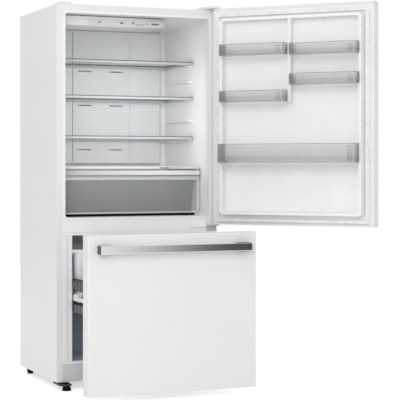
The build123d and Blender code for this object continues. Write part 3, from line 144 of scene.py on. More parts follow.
class Finish:
    """A procedural material on object coordinates: two near tones mixed by a soft noise, a
    gloss that follows a finer noise, and a relief. For a piece of the door the coordinates are
    turned back to the shut door, so that planes across an axis follow the piece."""

    def __init__(self, name, on_door=False, **sockets):
        self.material = bpy.data.materials.new(name + "_finish")
        materials[name] = self.material
        self.material.use_nodes = True
        self.tree = self.material.node_tree
        self.shader = self.tree.nodes["Principled BSDF"]
        for socket, value in sockets.items():
            self.shader.inputs[socket.replace("_", " ")].default_value = value
        self.axes = None
        self.place = self.node("ShaderNodeTexCoord").outputs["Object"]
        if on_door:
            axis = Vector(door_axis)
            turned = Matrix.Rotation(-door_turn, 3, "Z") @ axis
            inputs = {"Vector": self.place, "Location": axis - turned,
                      "Rotation": (0.0, 0.0, -door_turn)}
            self.place = self.node("ShaderNodeMapping", inputs).outputs["Vector"]

    def node(self, kind, inputs=None, **values):
        """New node with its inputs linked or set."""
        made = self.tree.nodes.new(kind)
        for key, value in values.items():
            setattr(made, key, value)
        for key, value in (inputs or {}).items():
            if isinstance(value, bpy.types.NodeSocket):
                self.tree.links.new(value, made.inputs[key])
            else:
                made.inputs[key].default_value = value
        return made

    def noise(self, scale, stretch=(1.0, 1.0, 1.0), detail=2.0, roughness=0.5):
        """Noise over the piece; stretch squeezes it along an axis."""
        squeezed = self.node("ShaderNodeMapping", {"Vector": self.place, "Scale": stretch})
        inputs = {"Vector": squeezed.outputs["Vector"], "Scale": scale, "Detail": detail,
                  "Roughness": roughness}
        return self.node("ShaderNodeTexNoise", inputs).outputs["Fac"]

    def ramp(self, value, start=0.0, end=1.0, low=0.0, high=1.0):
        """Low where the value is at start or before it, high where it is at end or past it."""
        inputs = {"Value": value, "From Min": start, "From Max": end, "To Min": low, "To Max": high}
        return self.node("ShaderNodeMapRange", inputs).outputs["Result"]

    def tones(self, first, second, factor, low=0.35, high=0.65):
        """Base colour that goes from the first tone to the second as the factor rises."""
        return self.blend(self.ramp(factor, low, high), first, second)

    def blend(self, factor, first, second):
        """Base colour that goes from the first tone or colour socket to the second."""
        mixed = self.node("ShaderNodeMix", data_type="RGBA")
        self.tree.links.new(factor, mixed.inputs["Factor"])
        sides = [socket for socket in mixed.inputs if socket.type == "RGBA"]
        for socket, value in zip(sides, (first, second)):
            if isinstance(value, bpy.types.NodeSocket):
                self.tree.links.new(value, socket)
            else:
                socket.default_value = (*value, 1.0)
        colour = next(socket for socket in mixed.outputs if socket.type == "RGBA")
        self.tree.links.new(colour, self.shader.inputs["Base Color"])
        return colour

    def combine(self, operation, first, second):
        return self.node("ShaderNodeMath", {0: first, 1: second}, operation=operation).outputs[0]

    def either(self, first, second):
        """Union of two masks."""
        return self.combine("MAXIMUM", first, second)

    def both(self, first, second):
        """Overlap of two masks, or a mask made fainter by a number."""
        return self.combine("MULTIPLY", first, second)

    def cover(self, mask, thin, thick):
        """How much of what lies behind is covered: thin where the mask is 0, thick at 1."""
        self.tree.links.new(self.ramp(mask, low=thin, high=thick), self.shader.inputs["Alpha"])

    def beyond(self, axis, start, end):
        """Mask of what lies on one side of a plane across an axis: 0 at start, 1 at end."""
        if self.axes is None:
            self.axes = self.node("ShaderNodeSeparateXYZ", {"Vector": self.place}).outputs
        return self.ramp(self.axes["XYZ".index(axis)], start, end)

    def gloss(self, factor, low, high):
        """Roughness that goes from low to high as the factor rises."""
        self.tree.links.new(self.ramp(factor, low=low, high=high), self.shader.inputs["Roughness"])

    def relief(self, height, depth, strength):
        bump = self.node("ShaderNodeBump", {"Height": height, "Distance": depth,
                                            "Strength": strength})
        self.tree.links.new(bump.outputs["Normal"], self.shader.inputs["Normal"])


def shade_of(colour, factor):
    return tuple(min(1.0, channel * factor) for channel in colour)


def painted(name, colour, second, depth=0.00004, rough=(0.26, 0.34), **sockets):
    """Baked enamel: soft tone drift, fine orange peel and a clear gloss."""
    made = Finish(name, **sockets)
    made.tones(colour, second, made.noise(3.0))
    made.gloss(made.noise(40.0), *rough)
    made.relief(made.noise(420.0, detail=1.0), depth, 0.35)


def moulded(name, colour, rough=(0.34, 0.46), grain=1400.0):
    """Moulded plastic: slight flow marks and a fine grain."""
    made = Finish(name)
    made.tones(colour, shade_of(colour, 0.965), made.noise(7.0, detail=3.0))
    made.gloss(made.noise(60.0), *rough)
    made.relief(made.noise(grain, detail=1.0), fine_grain, 0.3)


def brushed(name, colour, along, rough, posts=None, ends=(), on_door=False):
    """Metal brushed along one axis: fine streaks in tone, gloss and relief. Behind the plane
    at posts it turns dark with painted shade, and so do its two ends along the bar."""
    made = Finish(name, on_door, Metallic=1.0)
    stretch = [1.2 if axis == along else 60.0 for axis in "XYZ"]
    streaks = made.noise(22.0, stretch, detail=6.0, roughness=0.7)
    metal = made.tones(colour, shade_of(colour, 0.86), streaks, 0.3, 0.7)
    if posts is not None:
        # Painted shade: the posts and both ends of the bar turn near black.
        dark = made.beyond("Y", posts, posts + 0.0006)
        low, high = ends
        for start, end in ((low + 0.0008, low + 0.0004), (high - 0.0008, high - 0.0004)):
            dark = made.either(dark, made.beyond(along, start, end))
        made.blend(dark, metal, (0.04, 0.04, 0.042))
    made.gloss(streaks, *rough)
    made.relief(streaks, 0.00002, 0.5)


def waviness(made):
    """Relief of clear mouldings and glass."""
    made.relief(made.noise(18.0, detail=1.0), 0.0002, 0.1)


def see_through(name, colour, cover, rough=(0.02, 0.06)):
    """Clear or tinted moulding and glass, thin enough not to bend light, with faint waviness."""
    made = Finish(name, Alpha=cover)
    made.tones(colour, shade_of(colour, 0.97), made.noise(5.0))
    made.gloss(made.noise(30.0), *rough)
    waviness(made)


def rubbery(name, colour, **sockets):
    """Soft extruded rubber: dull, with faint lengthwise bloom."""
    made = Finish(name, **sockets)
    made.tones(colour, shade_of(colour, 0.88), made.noise(35.0, detail=4.0))
    made.gloss(made.noise(90.0), 0.5, 0.68)
    made.relief(made.noise(900.0), 0.00004, 0.35)


def foamed(name, colour):
    """Cut foam: fine cells and a warmer tone in patches."""
    made = Finish(name)
    cells = made.node("ShaderNodeTexVoronoi", {"Vector": made.place, "Scale": 700.0})
    made.tones(colour, shade_of(colour, 0.85), made.noise(12.0, detail=4.0))
    made.gloss(made.noise(80.0), 0.8, 0.95)
    made.relief(cells.outputs["Distance"], 0.0003, 0.6)


def spangled(name, colour):
    """Zinc-coated sheet: patches of crystal in slightly different tones."""
    made = Finish(name, Metallic=0.75)
    spangle = made.node("ShaderNodeTexVoronoi", {"Vector": made.place, "Scale": 60.0},
                        distance="MANHATTAN")
    made.tones(colour, shade_of(colour, 0.90), spangle.outputs["Distance"], 0.1, 0.7)
    made.gloss(made.noise(50.0), 0.38, 0.52)
    made.relief(made.noise(200.0), fine_grain, 0.3)


def crisper_finish(clear):
    """Clear tub, silver rail along its head and a paler outline round the window. The rail has
    a dark line at its foot, a painted shadow line at its head and painted shade at its left end."""
    outline_white, line_dark, silver = (0.80, 0.80, 0.82), (0.20, 0.20, 0.21), (0.63, 0.63, 0.64)
    shaded, head_shadow_line = (0.40, 0.40, 0.41), (0.30, 0.30, 0.31)
    blur, shade_start, outline_haze, head_haze = 0.0006, 0.10, 0.42, 0.30
    top, rail_foot = crisper_high[2], crisper_high[2] - 0.028
    window_x, window_z = crisper_high[0] - 0.012, crisper_low[2] + 0.018

    made = Finish("bin_clear")
    colour = made.tones(clear, shade_of(clear, 0.97), made.noise(5.0))
    rail = made.beyond("Z", rail_foot - 0.0004, rail_foot + 0.0002)
    at_face = made.beyond("Y", crisper_low[1] + 0.012, crisper_low[1] + 0.0115)
    edges = made.beyond("Z", window_z, window_z - blur)
    for side in (-1, 1):
        edges = made.either(edges, made.beyond("X", side * window_x, side * (window_x + blur)))
    outline = made.both(edges, at_face)
    colour = made.blend(outline, colour, outline_white)
    colour = made.blend(rail, colour, line_dark)
    on_rail = made.beyond("Z", rail_foot + 0.003, rail_foot + 0.007)
    colour = made.blend(on_rail, colour, silver)
    # Painted shade over the left end of the rail.
    shade = made.both(on_rail, made.beyond("X", shade_start, crisper_low[0]))
    colour = made.blend(shade, colour, shaded)
    # Painted shadow line along the rail's head, under the cover.
    made.blend(made.beyond("Z", top - 0.0042, top - 0.0036), colour, head_shadow_line)
    head = made.both(made.beyond("Z", rail_foot - 0.019, rail_foot - 0.018), at_face)
    hazy = made.either(made.both(outline, outline_haze), made.both(head, head_haze))
    made.cover(made.either(hazy, rail), 0.08, 1.0)
    made.gloss(made.noise(30.0), 0.08, 0.16)


def bin_finish(node, smoke):
    """Tinted clear moulding of a door bin: thin to the eye at its back wall, denser at both
    ends and along its rim and foot."""
    front_haze, end_haze, line_haze = 0.14, 0.22, 0.50
    low, high = closed_corners(node)
    made = Finish(f"smoke_{node}", on_door=True)
    made.tones(smoke, shade_of(smoke, 0.94), made.noise(5.0))
    front = made.beyond("Y", low[1] + 0.012, low[1] + 0.016)
    ends = made.either(made.beyond("X", low[0] + 0.016, low[0] + 0.004),
                       made.beyond("X", high[0] - 0.016, high[0] - 0.004))
    lines = made.either(made.beyond("Z", low[2] + 0.0045, low[2] + 0.0035),
                        made.beyond("Z", high[2] - 0.0030, high[2] - 0.0024))
    haze = made.either(made.both(ends, end_haze), made.both(lines, line_haze))
    made.cover(made.both(front, made.combine("ADD", haze, front_haze)), 0.02, 1.0)
    made.gloss(made.noise(30.0), 0.12, 0.2)
    waviness(made)
    return made.material


def dress(material, *nodes):
    """Gives CAD pieces their finish."""
    for name in nodes:
        piece = frame["nodes"][name]
        if not piece.material_slots:
            piece.data.materials.append(material)
        for slot in piece.material_slots:
            slot.material = material


def sheet_materials(cabinet, liner):
    """Outer sheets, liners and the base."""
    near_black = (0.005, 0.005, 0.006)
    painted("enamel", tuple(cabinet.enamel), tuple(cabinet.enamel_shade), cabinet.peel)
    spangled("zinc_sheet", tuple(cabinet.zinc))
    moulded("liner_white", tuple(liner.white), (0.24, 0.36), 600.0)
    # The liner's inside is darkened to a blue grey as painted shade; its front lip keeps a pale
    # tone.
    lined = Finish("freezer_grey")
    grey = lined.tones(tuple(liner.grey), shade_of(liner.grey, 0.95), lined.noise(6.0))
    lined.blend(lined.beyond("Y", front_y + 0.012, front_y + 0.008), grey, tuple(liner.lip))
    lined.gloss(lined.noise(60.0), 0.3, 0.42)
    lined.relief(lined.noise(600.0), fine_grain, 0.3)
    based = Finish("base_paint")
    sill = based.tones(tuple(cabinet.sill), shade_of(cabinet.sill, 0.94), based.noise(8.0))
    sill = based.blend(based.beyond("Y", front_y + 0.05, front_y + 0.06), sill, tuple(cabinet.zinc))
    below = based.beyond("Z", cabinet_low[2] + 0.0006, cabinet_low[2] - 0.0004)
    based.blend(below, sill, near_black)
    based.gloss(based.noise(50.0), 0.34, 0.5)
    based.relief(based.noise(300.0), fine_grain, 0.3)


def moulding_materials():
    """Plastic, rubber and foam."""
    housing_right_shade, rim_line = (0.50, 0.50, 0.51), (0.14, 0.145, 0.15)
    moulded("cover_white", (0.76, 0.77, 0.78))
    # The crisper cover's white moulding, darkened with painted shade.
    moulded("crisper_white", (0.57, 0.575, 0.57))
    moulded("vent_white", (0.775, 0.785, 0.795))
    housing = Finish("housing_grey")
    near = housing.tones((0.73, 0.73, 0.74), (0.71, 0.71, 0.72), housing.noise(7.0, detail=3.0))
    # Painted shade: the housing darkens towards its right end.
    housing.blend(housing.beyond("X", -0.08, 0.16), near, housing_right_shade)
    housing.gloss(housing.noise(60.0), 0.42, 0.55)
    housing.relief(housing.noise(1100.0, detail=1.0), 0.00006, 0.3)
    moulded("display_film", (0.68, 0.67, 0.69), (0.18, 0.26))
    for i in (1, 2, 3):
        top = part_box(f"shelf_rim_{i}")[1][2]
        rimmed = Finish(f"shelf_trim_{i}")
        trim = rimmed.tones((0.44, 0.45, 0.46), (0.40, 0.41, 0.42), rimmed.noise(9.0))
        rimmed.blend(rimmed.beyond("Z", top - 0.0048, top - 0.0044), trim, rim_line)
        rimmed.gloss(rimmed.noise(50.0), 0.45, 0.6)
    moulded("slider_dark", (0.035, 0.037, 0.04))
    moulded("pan_black", (0.02, 0.02, 0.022), (0.3, 0.5))
    moulded("fan_white", (0.68, 0.69, 0.70))
    moulded("motor_grey", (0.25, 0.26, 0.27))
    moulded("basket_white", (0.86, 0.87, 0.885), (0.2, 0.3))
    moulded("runner_black", (0.012, 0.012, 0.014), (0.4, 0.5))
    moulded("runner_grey", (0.15, 0.153, 0.16), (0.4, 0.5))
    moulded("bead_shade", (0.62, 0.62, 0.63), (0.3, 0.4))
    # Painted shade of the duct's seams, deeper at the left seam than at the right.
    moulded("seam_deep_shade", (0.30, 0.305, 0.31), (0.5, 0.6))
    moulded("seam_faint_shade", (0.52, 0.525, 0.53), (0.5, 0.6))
    moulded("mullion_white", (0.90, 0.90, 0.90))
    moulded("ink_dark", (0.07, 0.07, 0.075), (0.4, 0.5))
    rubbery("gasket_grey", (0.84, 0.84, 0.85))
    rubbery("foot_black", (0.004, 0.004, 0.005), Specular_IOR_Level=0.08)
    foamed("foam_cream", (0.75, 0.64, 0.36))


def clear_materials(clear):
    """Glass and clear mouldings, the lit signs and the lamp's lens."""
    crisper_finish(tuple(clear.clear))
    see_through("shelf_glass", tuple(clear.shelf), 0.10)
    see_through("smoke_clear", tuple(clear.smoke), 0.30, (0.12, 0.2))
    sign = Finish("sign_light", Emission_Color=(0.35, 0.95, 0.88, 1.0), Emission_Strength=0.1)
    sign.tones((0.30, 0.66, 0.63), (0.34, 0.70, 0.66), sign.noise(200.0))
    sign.gloss(sign.noise(90.0), 0.3, 0.4)
    lens = Finish("frosted_lens")
    lens.tones((0.66, 0.66, 0.67), (0.62, 0.62, 0.63), lens.noise(20.0))
    lens.gloss(lens.noise(60.0), 0.4, 0.5)


def metal_materials(metal):
    """Handle bars, rails, cooling fins, compressor and screws."""
    bar_gloss = (0.10, 0.16)
    bar_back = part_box("drawer_handle")[0][1] + metal.bar_depth
    bars_x, bars_z = ([corner[axis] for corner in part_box(node)]
                      for node, axis in (("drawer_handle", 0), ("door_handle", 2)))
    brushed("bar_along_x", tuple(metal.bar), "X", bar_gloss, bar_back, bars_x)
    brushed("bar_upright", tuple(metal.bar), "Z", bar_gloss, bar_back + drawer_pull, bars_z,
            on_door=True)
    brushed("rail_zinc", tuple(metal.rail), "Y", (0.3, 0.42))
    brushed("fin_aluminium", (0.75, 0.76, 0.77), "Z", (0.3, 0.4))
    painted("compressor_black", (0.012, 0.012, 0.013), (0.018, 0.018, 0.02), 0.00008, (0.22, 0.4))
    painted("screw_zinc", (0.60, 0.61, 0.62), (0.52, 0.53, 0.54), 0.00004, (0.2, 0.3), Metallic=0.8)


def drawer_and_hinge_materials():
    """Frame of the drawer, hatched middle rails and the middle hinge."""
    runner_dark, hinge_grey = (0.02, 0.021, 0.023), (0.50, 0.50, 0.51)
    framed = Finish("frame_white")
    plate = framed.tones((0.74, 0.75, 0.77), (0.70, 0.71, 0.73), framed.noise(3.0))
    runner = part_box("rails_fixed")[0][2] + 0.046
    framed.blend(framed.beyond("Z", runner + 0.0005, runner - 0.0005), plate, runner_dark)
    framed.gloss(framed.noise(40.0), 0.35, 0.45)
    framed.relief(framed.noise(420.0, detail=1.0), 0.00006, 0.35)
    hatch = Finish("runner_hatch")
    across, level = (hatch.node("ShaderNodeTexWave", {"Vector": hatch.place, "Scale": scale},
                                bands_direction=axis).outputs["Fac"]
                     for axis, scale in (("Y", 7.0), ("Z", 26.0)))
    crossing = hatch.both(across, level)
    hatch.tones((0.008, 0.008, 0.010), (0.26, 0.265, 0.275), crossing, 0.45, 0.6)
    hatch.gloss(hatch.noise(60.0), 0.3, 0.42)
    hinge = Finish("hinge_white")
    white = hinge.tones((0.93, 0.93, 0.93), (0.91, 0.91, 0.91), hinge.noise(12.0))
    hinge.blend(hinge.beyond("X", hinge_split, hinge_split + 0.001), white, hinge_grey)
    hinge.gloss(hinge.noise(60.0), 0.3, 0.4)


def make_materials():
    scene = bpy.context.scene
    sheet_materials(scene.fridge_cabinet, scene.fridge_liner)
    moulding_materials()
    clear_materials(scene.fridge_clear)
    metal_materials(scene.fridge_metal)
    drawer_and_hinge_materials()


# --- surfaces --------------------------------------------------------------------


def on_door(points):
    """Points given with the door shut, turned about its pin to where it stands open."""
    return (points - door_axis) @ door_rotation.T + door_axis


def closed_corners(node):
    """Lowest and highest corner of one of the door's nodes as it stands with the door shut."""
    mesh = frame["nodes"][node].data
    points = np.empty(len(mesh.vertices) * 3)
    mesh.vertices.foreach_get("co", points)
    points = (points.reshape(-1, 3) - door_axis) @ door_rotation + door_axis
    return points.min(0), points.max(0)


def closed_piece(name, rings, material, body):
    """Closed surfaces from rings of points (surface, ring, around, 3): quads join each ring to
    the next, and the two end rings are drawn together to their middles."""
    rings = np.asarray(rings, float)
    ends = [np.broadcast_to(ring.mean(axis=2, keepdims=True), ring.shape)
            for ring in (rings[:, :1], rings[:, -1:])]
    full = np.concatenate([ends[0], rings, ends[1]], axis=1)
    count, rows, around = full.shape[:3]
    row, j = np.meshgrid(np.arange(rows - 1) * around, np.arange(around), indexing="ij")
    k = (j + 1) % around
    quads = np.stack([row + j, row + k, row + around + k, row + around + j], -1)
    faces = quads.reshape(1, -1, 4) + (np.arange(count) * rows * around)[:, None, None]
    finished(name, full.reshape(-1, 3), faces.reshape(-1, 4), material, body)


def finished(name, points, faces, material, body):
    """Piece with its doubles merged, its faces outwards and its edges sharp past an angle."""
    merge, sliver, crease = 1e-6, 1e-7, math.radians(35.0)
    mesh = bpy.data.meshes.new(name)
    mesh.from_pydata(points.tolist(), [], faces.tolist())
    work = bmesh.new()
    work.from_mesh(mesh)
    bmesh.ops.remove_doubles(work, verts=work.verts, dist=merge)
    bmesh.ops.dissolve_degenerate(work, edges=work.edges, dist=sliver)
    bmesh.ops.recalc_face_normals(work, faces=work.faces)
    work.to_mesh(mesh)
    work.free()
    mesh.shade_smooth()
    mesh.set_sharp_from_angle(angle=crease)
    mesh.materials.append(material)
    piece = bpy.data.objects.new(name, mesh)
    bpy.context.scene.collection.objects.link(piece)
    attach(piece, body)


def circle(around):
    """Angles of evenly spaced points round a circle."""
    return np.linspace(0.0, 2 * math.pi, around, endpoint=False)


def bars(corners_low, corners_high, edge):
    """Rings of boxes with rounded edges: rectangles in XZ whose corners are quarter circles,
    carried along Y and drawn in by the edge at both ends."""
    low, high = np.asarray(corners_low, float), np.asarray(corners_high, float)
    steps, radius = 4, edge * 1.5
    angles = np.linspace(0.0, math.pi / 2, steps) + np.arange(4)[:, None] * math.pi / 2
    out = np.stack([np.cos(angles), np.sin(angles)], -1)
    x0, x1 = low[:, 0] + radius, high[:, 0] - radius
    z0, z1 = low[:, 2] + radius, high[:, 2] - radius
    middles = np.stack([np.stack([x1, x0, x0, x1], -1), np.stack([z1, z1, z0, z0], -1)], -1)
    loops = (middles[:, :, None] + radius * out).reshape(len(low), 1, -1, 2)
    inset = np.array([edge, 0.0, 0.0, edge])
    depths = np.stack([low[:, 1], low[:, 1] + edge, high[:, 1] - edge, high[:, 1]], -1)
    rings = np.empty((len(low), 4, 4 * steps, 3))
    rings[..., ::2] = loops - inset[:, None, None] * out.reshape(-1, 2)
    rings[..., 1] = depths[..., None]
    return rings


def flutes(places, low, high, radius):
    """Rings of upright half-round ribs: a small circle carried up each place, drawn in at
    both ends."""
    turn = circle(8)
    levels = np.array([low, low + radius, high - radius, high])
    widths = np.array([0.35, 1.0, 1.0, 0.35]) * radius
    rings = np.empty((len(places), 4, len(turn), 3))
    rings[..., 0] = places[:, 0, None, None] + widths[None, :, None] * np.cos(turn)
    rings[..., 1] = places[:, 1, None, None] + widths[None, :, None] * np.sin(turn)
    rings[..., 2] = levels[None, :, None]
    return rings


def screws(places, axis, radius):
    """Rings of pan heads with a cross recess: a quarter ellipse turned about the axis, then a
    four-armed star that sinks into its crown."""
    axis = np.asarray(axis, float)
    first = np.cross(axis, (0.0, 0.0, 1.0))
    first /= np.linalg.norm(first)
    second = np.cross(axis, first)
    turn = circle(32)
    rise = radius * 0.55
    swing = np.linspace(0.0, 1.05, 5)[1:]
    star = radius * (0.13 + 0.33 * np.abs(np.cos(2 * turn)) ** 6)
    reach = [np.full_like(turn, r) for r in (radius, *(radius * np.cos(swing)))]
    lift = [-0.2 * rise, *(rise * np.sin(swing))]
    reach += [star, star * 0.8]
    lift += [rise * 0.97, rise * 0.35]
    rings = np.empty((len(places), len(reach), len(turn), 3))
    for k, (r, h) in enumerate(zip(reach, lift)):
        flat = np.outer(r * np.cos(turn), first) + np.outer(r * np.sin(turn), second) + h * axis
        rings[:, k] = np.asarray(places, float)[:, None] + flat
    return rings


def marks(shapes, y):
    """Rings of thin printed marks on a face across Y. Each is a closed curve round its middle:
    a rounded box, a dot, a drop, or a star whose radius rises and falls with the angle."""
    turn, depth = circle(36), 0.0004
    cosine, sine = np.cos(turn), np.sin(turn)
    reaches = {"star": 0.3 + 0.7 * np.abs(np.cos(3 * turn)) ** 6,
               "bar": (np.abs(cosine) ** 6 + np.abs(sine) ** 6) ** (-1 / 6),
               "drop": 0.62 + 0.38 * np.clip(sine, 0, 1) ** 5,
               "dot": np.ones_like(turn)}
    rings = np.empty((len(shapes), 2, len(turn), 3))
    for ring, (kind, x, z, width, height) in zip(rings, shapes):
        ring[..., 0] = x + width / 2 * reaches[kind] * cosine
        ring[..., 2] = z + height / 2 * reaches[kind] * sine
        ring[0, :, 1], ring[1, :, 1] = y + depth, y - depth
    return rings


def control_marks():
    """Printed marks, small lit signs and a painted highlight along the left edge of the control
    strip, each a thin closed curve on its face. Rows are kind, x, z, width and height."""
    y, span = panel_low[1], panel_high[2] - panel_low[2]
    middle = (panel_low[2] + panel_high[2]) / 2
    dark = [("star", -0.168, middle, 0.018, 0.014), ("bar", -0.058, middle, 0.014, 0.007),
            ("drop", -0.001, middle, 0.014, 0.012), ("star", 0.069, middle, 0.014, 0.012)]
    dark += [("dot", 0.014 + 0.0125 * i, middle - span * 0.18, 0.006, 0.006) for i in range(4)]
    dark += [("bar", 0.095 + 0.0095 * i, middle, 0.0085, 0.007) for i in range(4)]
    lit = [("bar", -0.080, middle + 0.001, 0.008, 0.009), ("dot", -0.030, middle, 0.006, 0.006),
           ("bar", -0.020, middle, 0.007, 0.006)]
    # Painted highlight along the strip's left edge.
    edge = [("bar", panel_low[0] + 0.002, middle, 0.0028, span * 0.98)]
    for name, shapes, material in (("control_signs", dark, "ink_dark"),
                                   ("control_lights", lit, "sign_light"),
                                   ("control_edge_highlight", edge, "cover_white")):
        closed_piece(name, marks(shapes, y), materials[material], "cabinet")


def crisper_gap_shadow():
    """Black strip in the gap under the crisper's window as painted shadow, a box with rounded
    edges.
    """
    left, right = crisper_low[0] + 0.016, crisper_high[0] - 0.024
    near, far = crisper_low[1] + 0.0042, crisper_low[1] + 0.0150
    foot, head = crisper_low[2] - 0.0012, crisper_low[2] + 0.0098
    strip = bars([(left, near, foot)], [(right, far, head)], 0.0012)
    closed_piece("crisper_gap_shadow", strip, materials["foot_black"], "crisper")


def lip_beads():
    """Upright embossed bead on each side of the freezer's mouth, clear of the drawer's gasket,
    a narrow box with rounded edges half sunk into the lip. Its grey is painted shade."""
    half_width, half_depth, short = 0.002, 0.0010, 0.010
    foot, head = mouth_low[2] + short, mouth_high[2] - short
    sides = (-lip_bead_x, lip_bead_x)
    beads = bars([(x - half_width, front_y - half_depth, foot) for x in sides],
                 [(x + half_width, front_y + half_depth, head) for x in sides], 0.0009)
    closed_piece("freezer_lip_beads", beads, materials["bead_shade"], "cabinet")


def duct_seams():
    """Narrow upright seams at both edges of the duct's middle column, boxes with rounded edges
    that stand barely proud of it. Their dark tone is painted shade, deeper and wider at the left."""
    proud, sunk, short = 0.0007, 0.0015, 0.012
    low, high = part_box("air_duct_panel")
    for name, x, half_width, shade in (("duct_seam_left", -duct_seam_x, 0.0020, "seam_deep_shade"),
                                       ("duct_seam_right", duct_seam_x, 0.0009, "seam_faint_shade")):
        seam = bars([(x - half_width, low[1] - proud, low[2] + short)],
                    [(x + half_width, low[1] + sunk, high[2] - short)], 0.0003)
        closed_piece(name, seam, materials[shade], "cabinet")


def leg_collars():
    """Knurled lock ring on each levelling leg: a profile turned about the leg's axis, with the
    radius a little smaller in every other step round it."""
    knurls, knurl_depth = 18, 0.035
    turn = circle(72)
    heights = np.array([0.0095, 0.0105, 0.0140, 0.0155, 0.0195, 0.0250, 0.0265, 0.0270])
    reaches = np.array([0.0110, 0.0185, 0.0194, 0.0172, 0.0172, 0.0194, 0.0190, 0.0130])
    reach = reaches[:, None] * (1 - knurl_depth * (np.cos(knurls * turn) > 0)[None])
    for side in ("left", "right"):
        low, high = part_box(f"leg_{side}")
        x, y = (low[0] + high[0]) / 2, (low[1] + high[1]) / 2
        ring = np.stack([x + reach * np.cos(turn), y + reach * np.sin(turn),
                         np.broadcast_to(heights[:, None], reach.shape)], -1)
        closed_piece(f"leg_collar_{side}", ring[None], materials["foot_black"], f"{side}_leg")


def hinge_fairing():
    """Filler between the cabinet's top and the leaf of the top hinge, a box with rounded edges."""
    low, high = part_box("top_hinge")
    top = cabinet_high[2]
    block = bars([(low[0] + 0.004, front_y + 0.0006, top + 0.0001)],
                 [(high[0] - 0.0003, front_y + 0.016, top + 0.0059)], 0.0006)
    closed_piece("hinge_fairing", block, materials["cover_white"], "cabinet")


def panel_screws():
    """Pan-head screws at both edges of the freezer's rear wall, turned profiles with a star
    sunk into the crown."""
    side, end, radius = 0.014, 0.02, 0.0042
    low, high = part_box("evaporator_cover")
    places = [(x, low[1], z) for x in (low[0] + side, high[0] - side)
              for z in np.linspace(low[2] + end, high[2] - end, 3)]
    closed_piece("cover_screws", screws(places, (0, -1, 0), radius), materials["screw_zinc"],
                 "cabinet")


def rail_carriers():
    """Dark runners beside the drawer's frame and over the rails' middle members: a plate on
    each side with upright ribs along its outer face, all of them boxes with rounded edges."""
    overlap, overhang, reach_back = 0.0088, 0.0012, 0.375
    pitch, rib_root, rib_height, edge = 0.038, 0.001, 0.0025, 0.0007
    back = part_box("drawer_liner")[1][1]
    frame_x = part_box("basket_frame")[1][0]
    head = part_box("basket_frame")[1][2]
    inner, outer = frame_x - overlap, frame_x + overhang
    start, end = back - 0.017, back + reach_back
    low, high = head - 0.009, head + 0.046
    starts = start + pitch * (np.arange(int((end - start) / pitch)) + 0.3)
    ends = start + pitch * (np.arange(int((end - start) / pitch)) + 0.7)
    plates, ribs = ([], []), ([], [])
    for side in (-1, 1):
        a, b = sorted((side * inner, side * outer))
        plates[0].append((a, start, low))
        plates[1].append((b, end, high))
        a, b = sorted((side * (outer - rib_root), side * (outer + rib_height)))
        ribs[0].extend((a, y, low + 0.006) for y in starts)
        ribs[1].extend((b, y, high - 0.012) for y in ends)
    for name, boxes, material in (("side_runner_plate", plates, "runner_black"),
                                  ("side_runner_ribs", ribs, "runner_grey")):
        closed_piece(name, bars(*boxes, edge), materials[material], "freezer_drawer")


def basket_arms():
    """White slide arms beside the basket frame, boxes with rounded edges, and a roller over the
    rear end of each, a circle carried across with its rims drawn in."""
    span, height, wheel, rim, edge = 0.350, 0.017, 0.0085, 0.001, 0.0012
    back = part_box("drawer_liner")[1][1]
    inner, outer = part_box("basket_frame")[1][0] - 0.0146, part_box("rails_middle")[1][0]
    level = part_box("rails_fixed")[1][2] + 0.0035
    turn = circle(48)
    reach = np.array([wheel - rim, wheel, wheel, wheel - rim])[:, None]
    lows, highs, wheels = [], [], []
    for side in (-1, 1):
        a, b = sorted((side * inner, side * outer))
        lows.append((a, back, level))
        highs.append((b, back + span, level + height))
        steps = np.array([a, a + rim, b - rim, b])[:, None]
        wheels.append(np.stack([np.broadcast_to(steps, (len(steps), len(turn))),
                                back + span - 0.012 + reach * np.cos(turn),
                                level + 0.021 + reach * np.sin(turn)], -1))
    for name, rings in (("basket_arms", bars(lows, highs, edge)),
                        ("arm_rollers", np.array(wheels))):
        closed_piece(name, rings, materials["basket_white"], "freezer_drawer")


def vent_plates():
    """Nearly flush plates over the lower part of each duct outlet, boxes with rounded edges."""
    half_width, proud, sunk = 0.0355, 0.0002, 0.0022
    lows, highs = [], []
    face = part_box("air_duct_panel")[0][1]
    for i, drop in ((1, 0.0), (2, 0.0), (3, duct_low_drop)):
        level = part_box(f"shelf_rim_{i}")[0][2] - drop
        for x in duct_columns:
            lows.append((x - half_width, face - proud, level - 0.0535))
            highs.append((x + half_width, face + sunk, level - 0.0215))
    closed_piece("vent_plates", bars(lows, highs, 0.0002), materials["vent_white"], "cabinet")


def bin_flutes():
    """Fine upright ribs at both ends of the bins' fronts, small circles carried upwards."""
    step, corner, radius, proud = 0.0042, 0.018, 0.0009, 0.0002
    for node in door_bins:
        low, high = closed_corners(node)
        x = np.concatenate([low[0] + corner + step * np.arange(6),
                            high[0] - corner - step * np.arange(6)])
        front = np.stack([x, np.full_like(x, high[1] + proud)], -1)
        y = high[1] - corner - step * np.arange(5)
        ends = [np.stack([np.full_like(y, edge), y], -1) for edge in (low[0], high[0])]
        places = np.concatenate([front, *ends])
        rings = flutes(places, low[2] + 0.006, high[2] - 0.009, radius)
        closed_piece(f"{node}_flutes", on_door(rings), materials["smoke_clear"], "fridge_door")


# --- operators -------------------------------------------------------------------


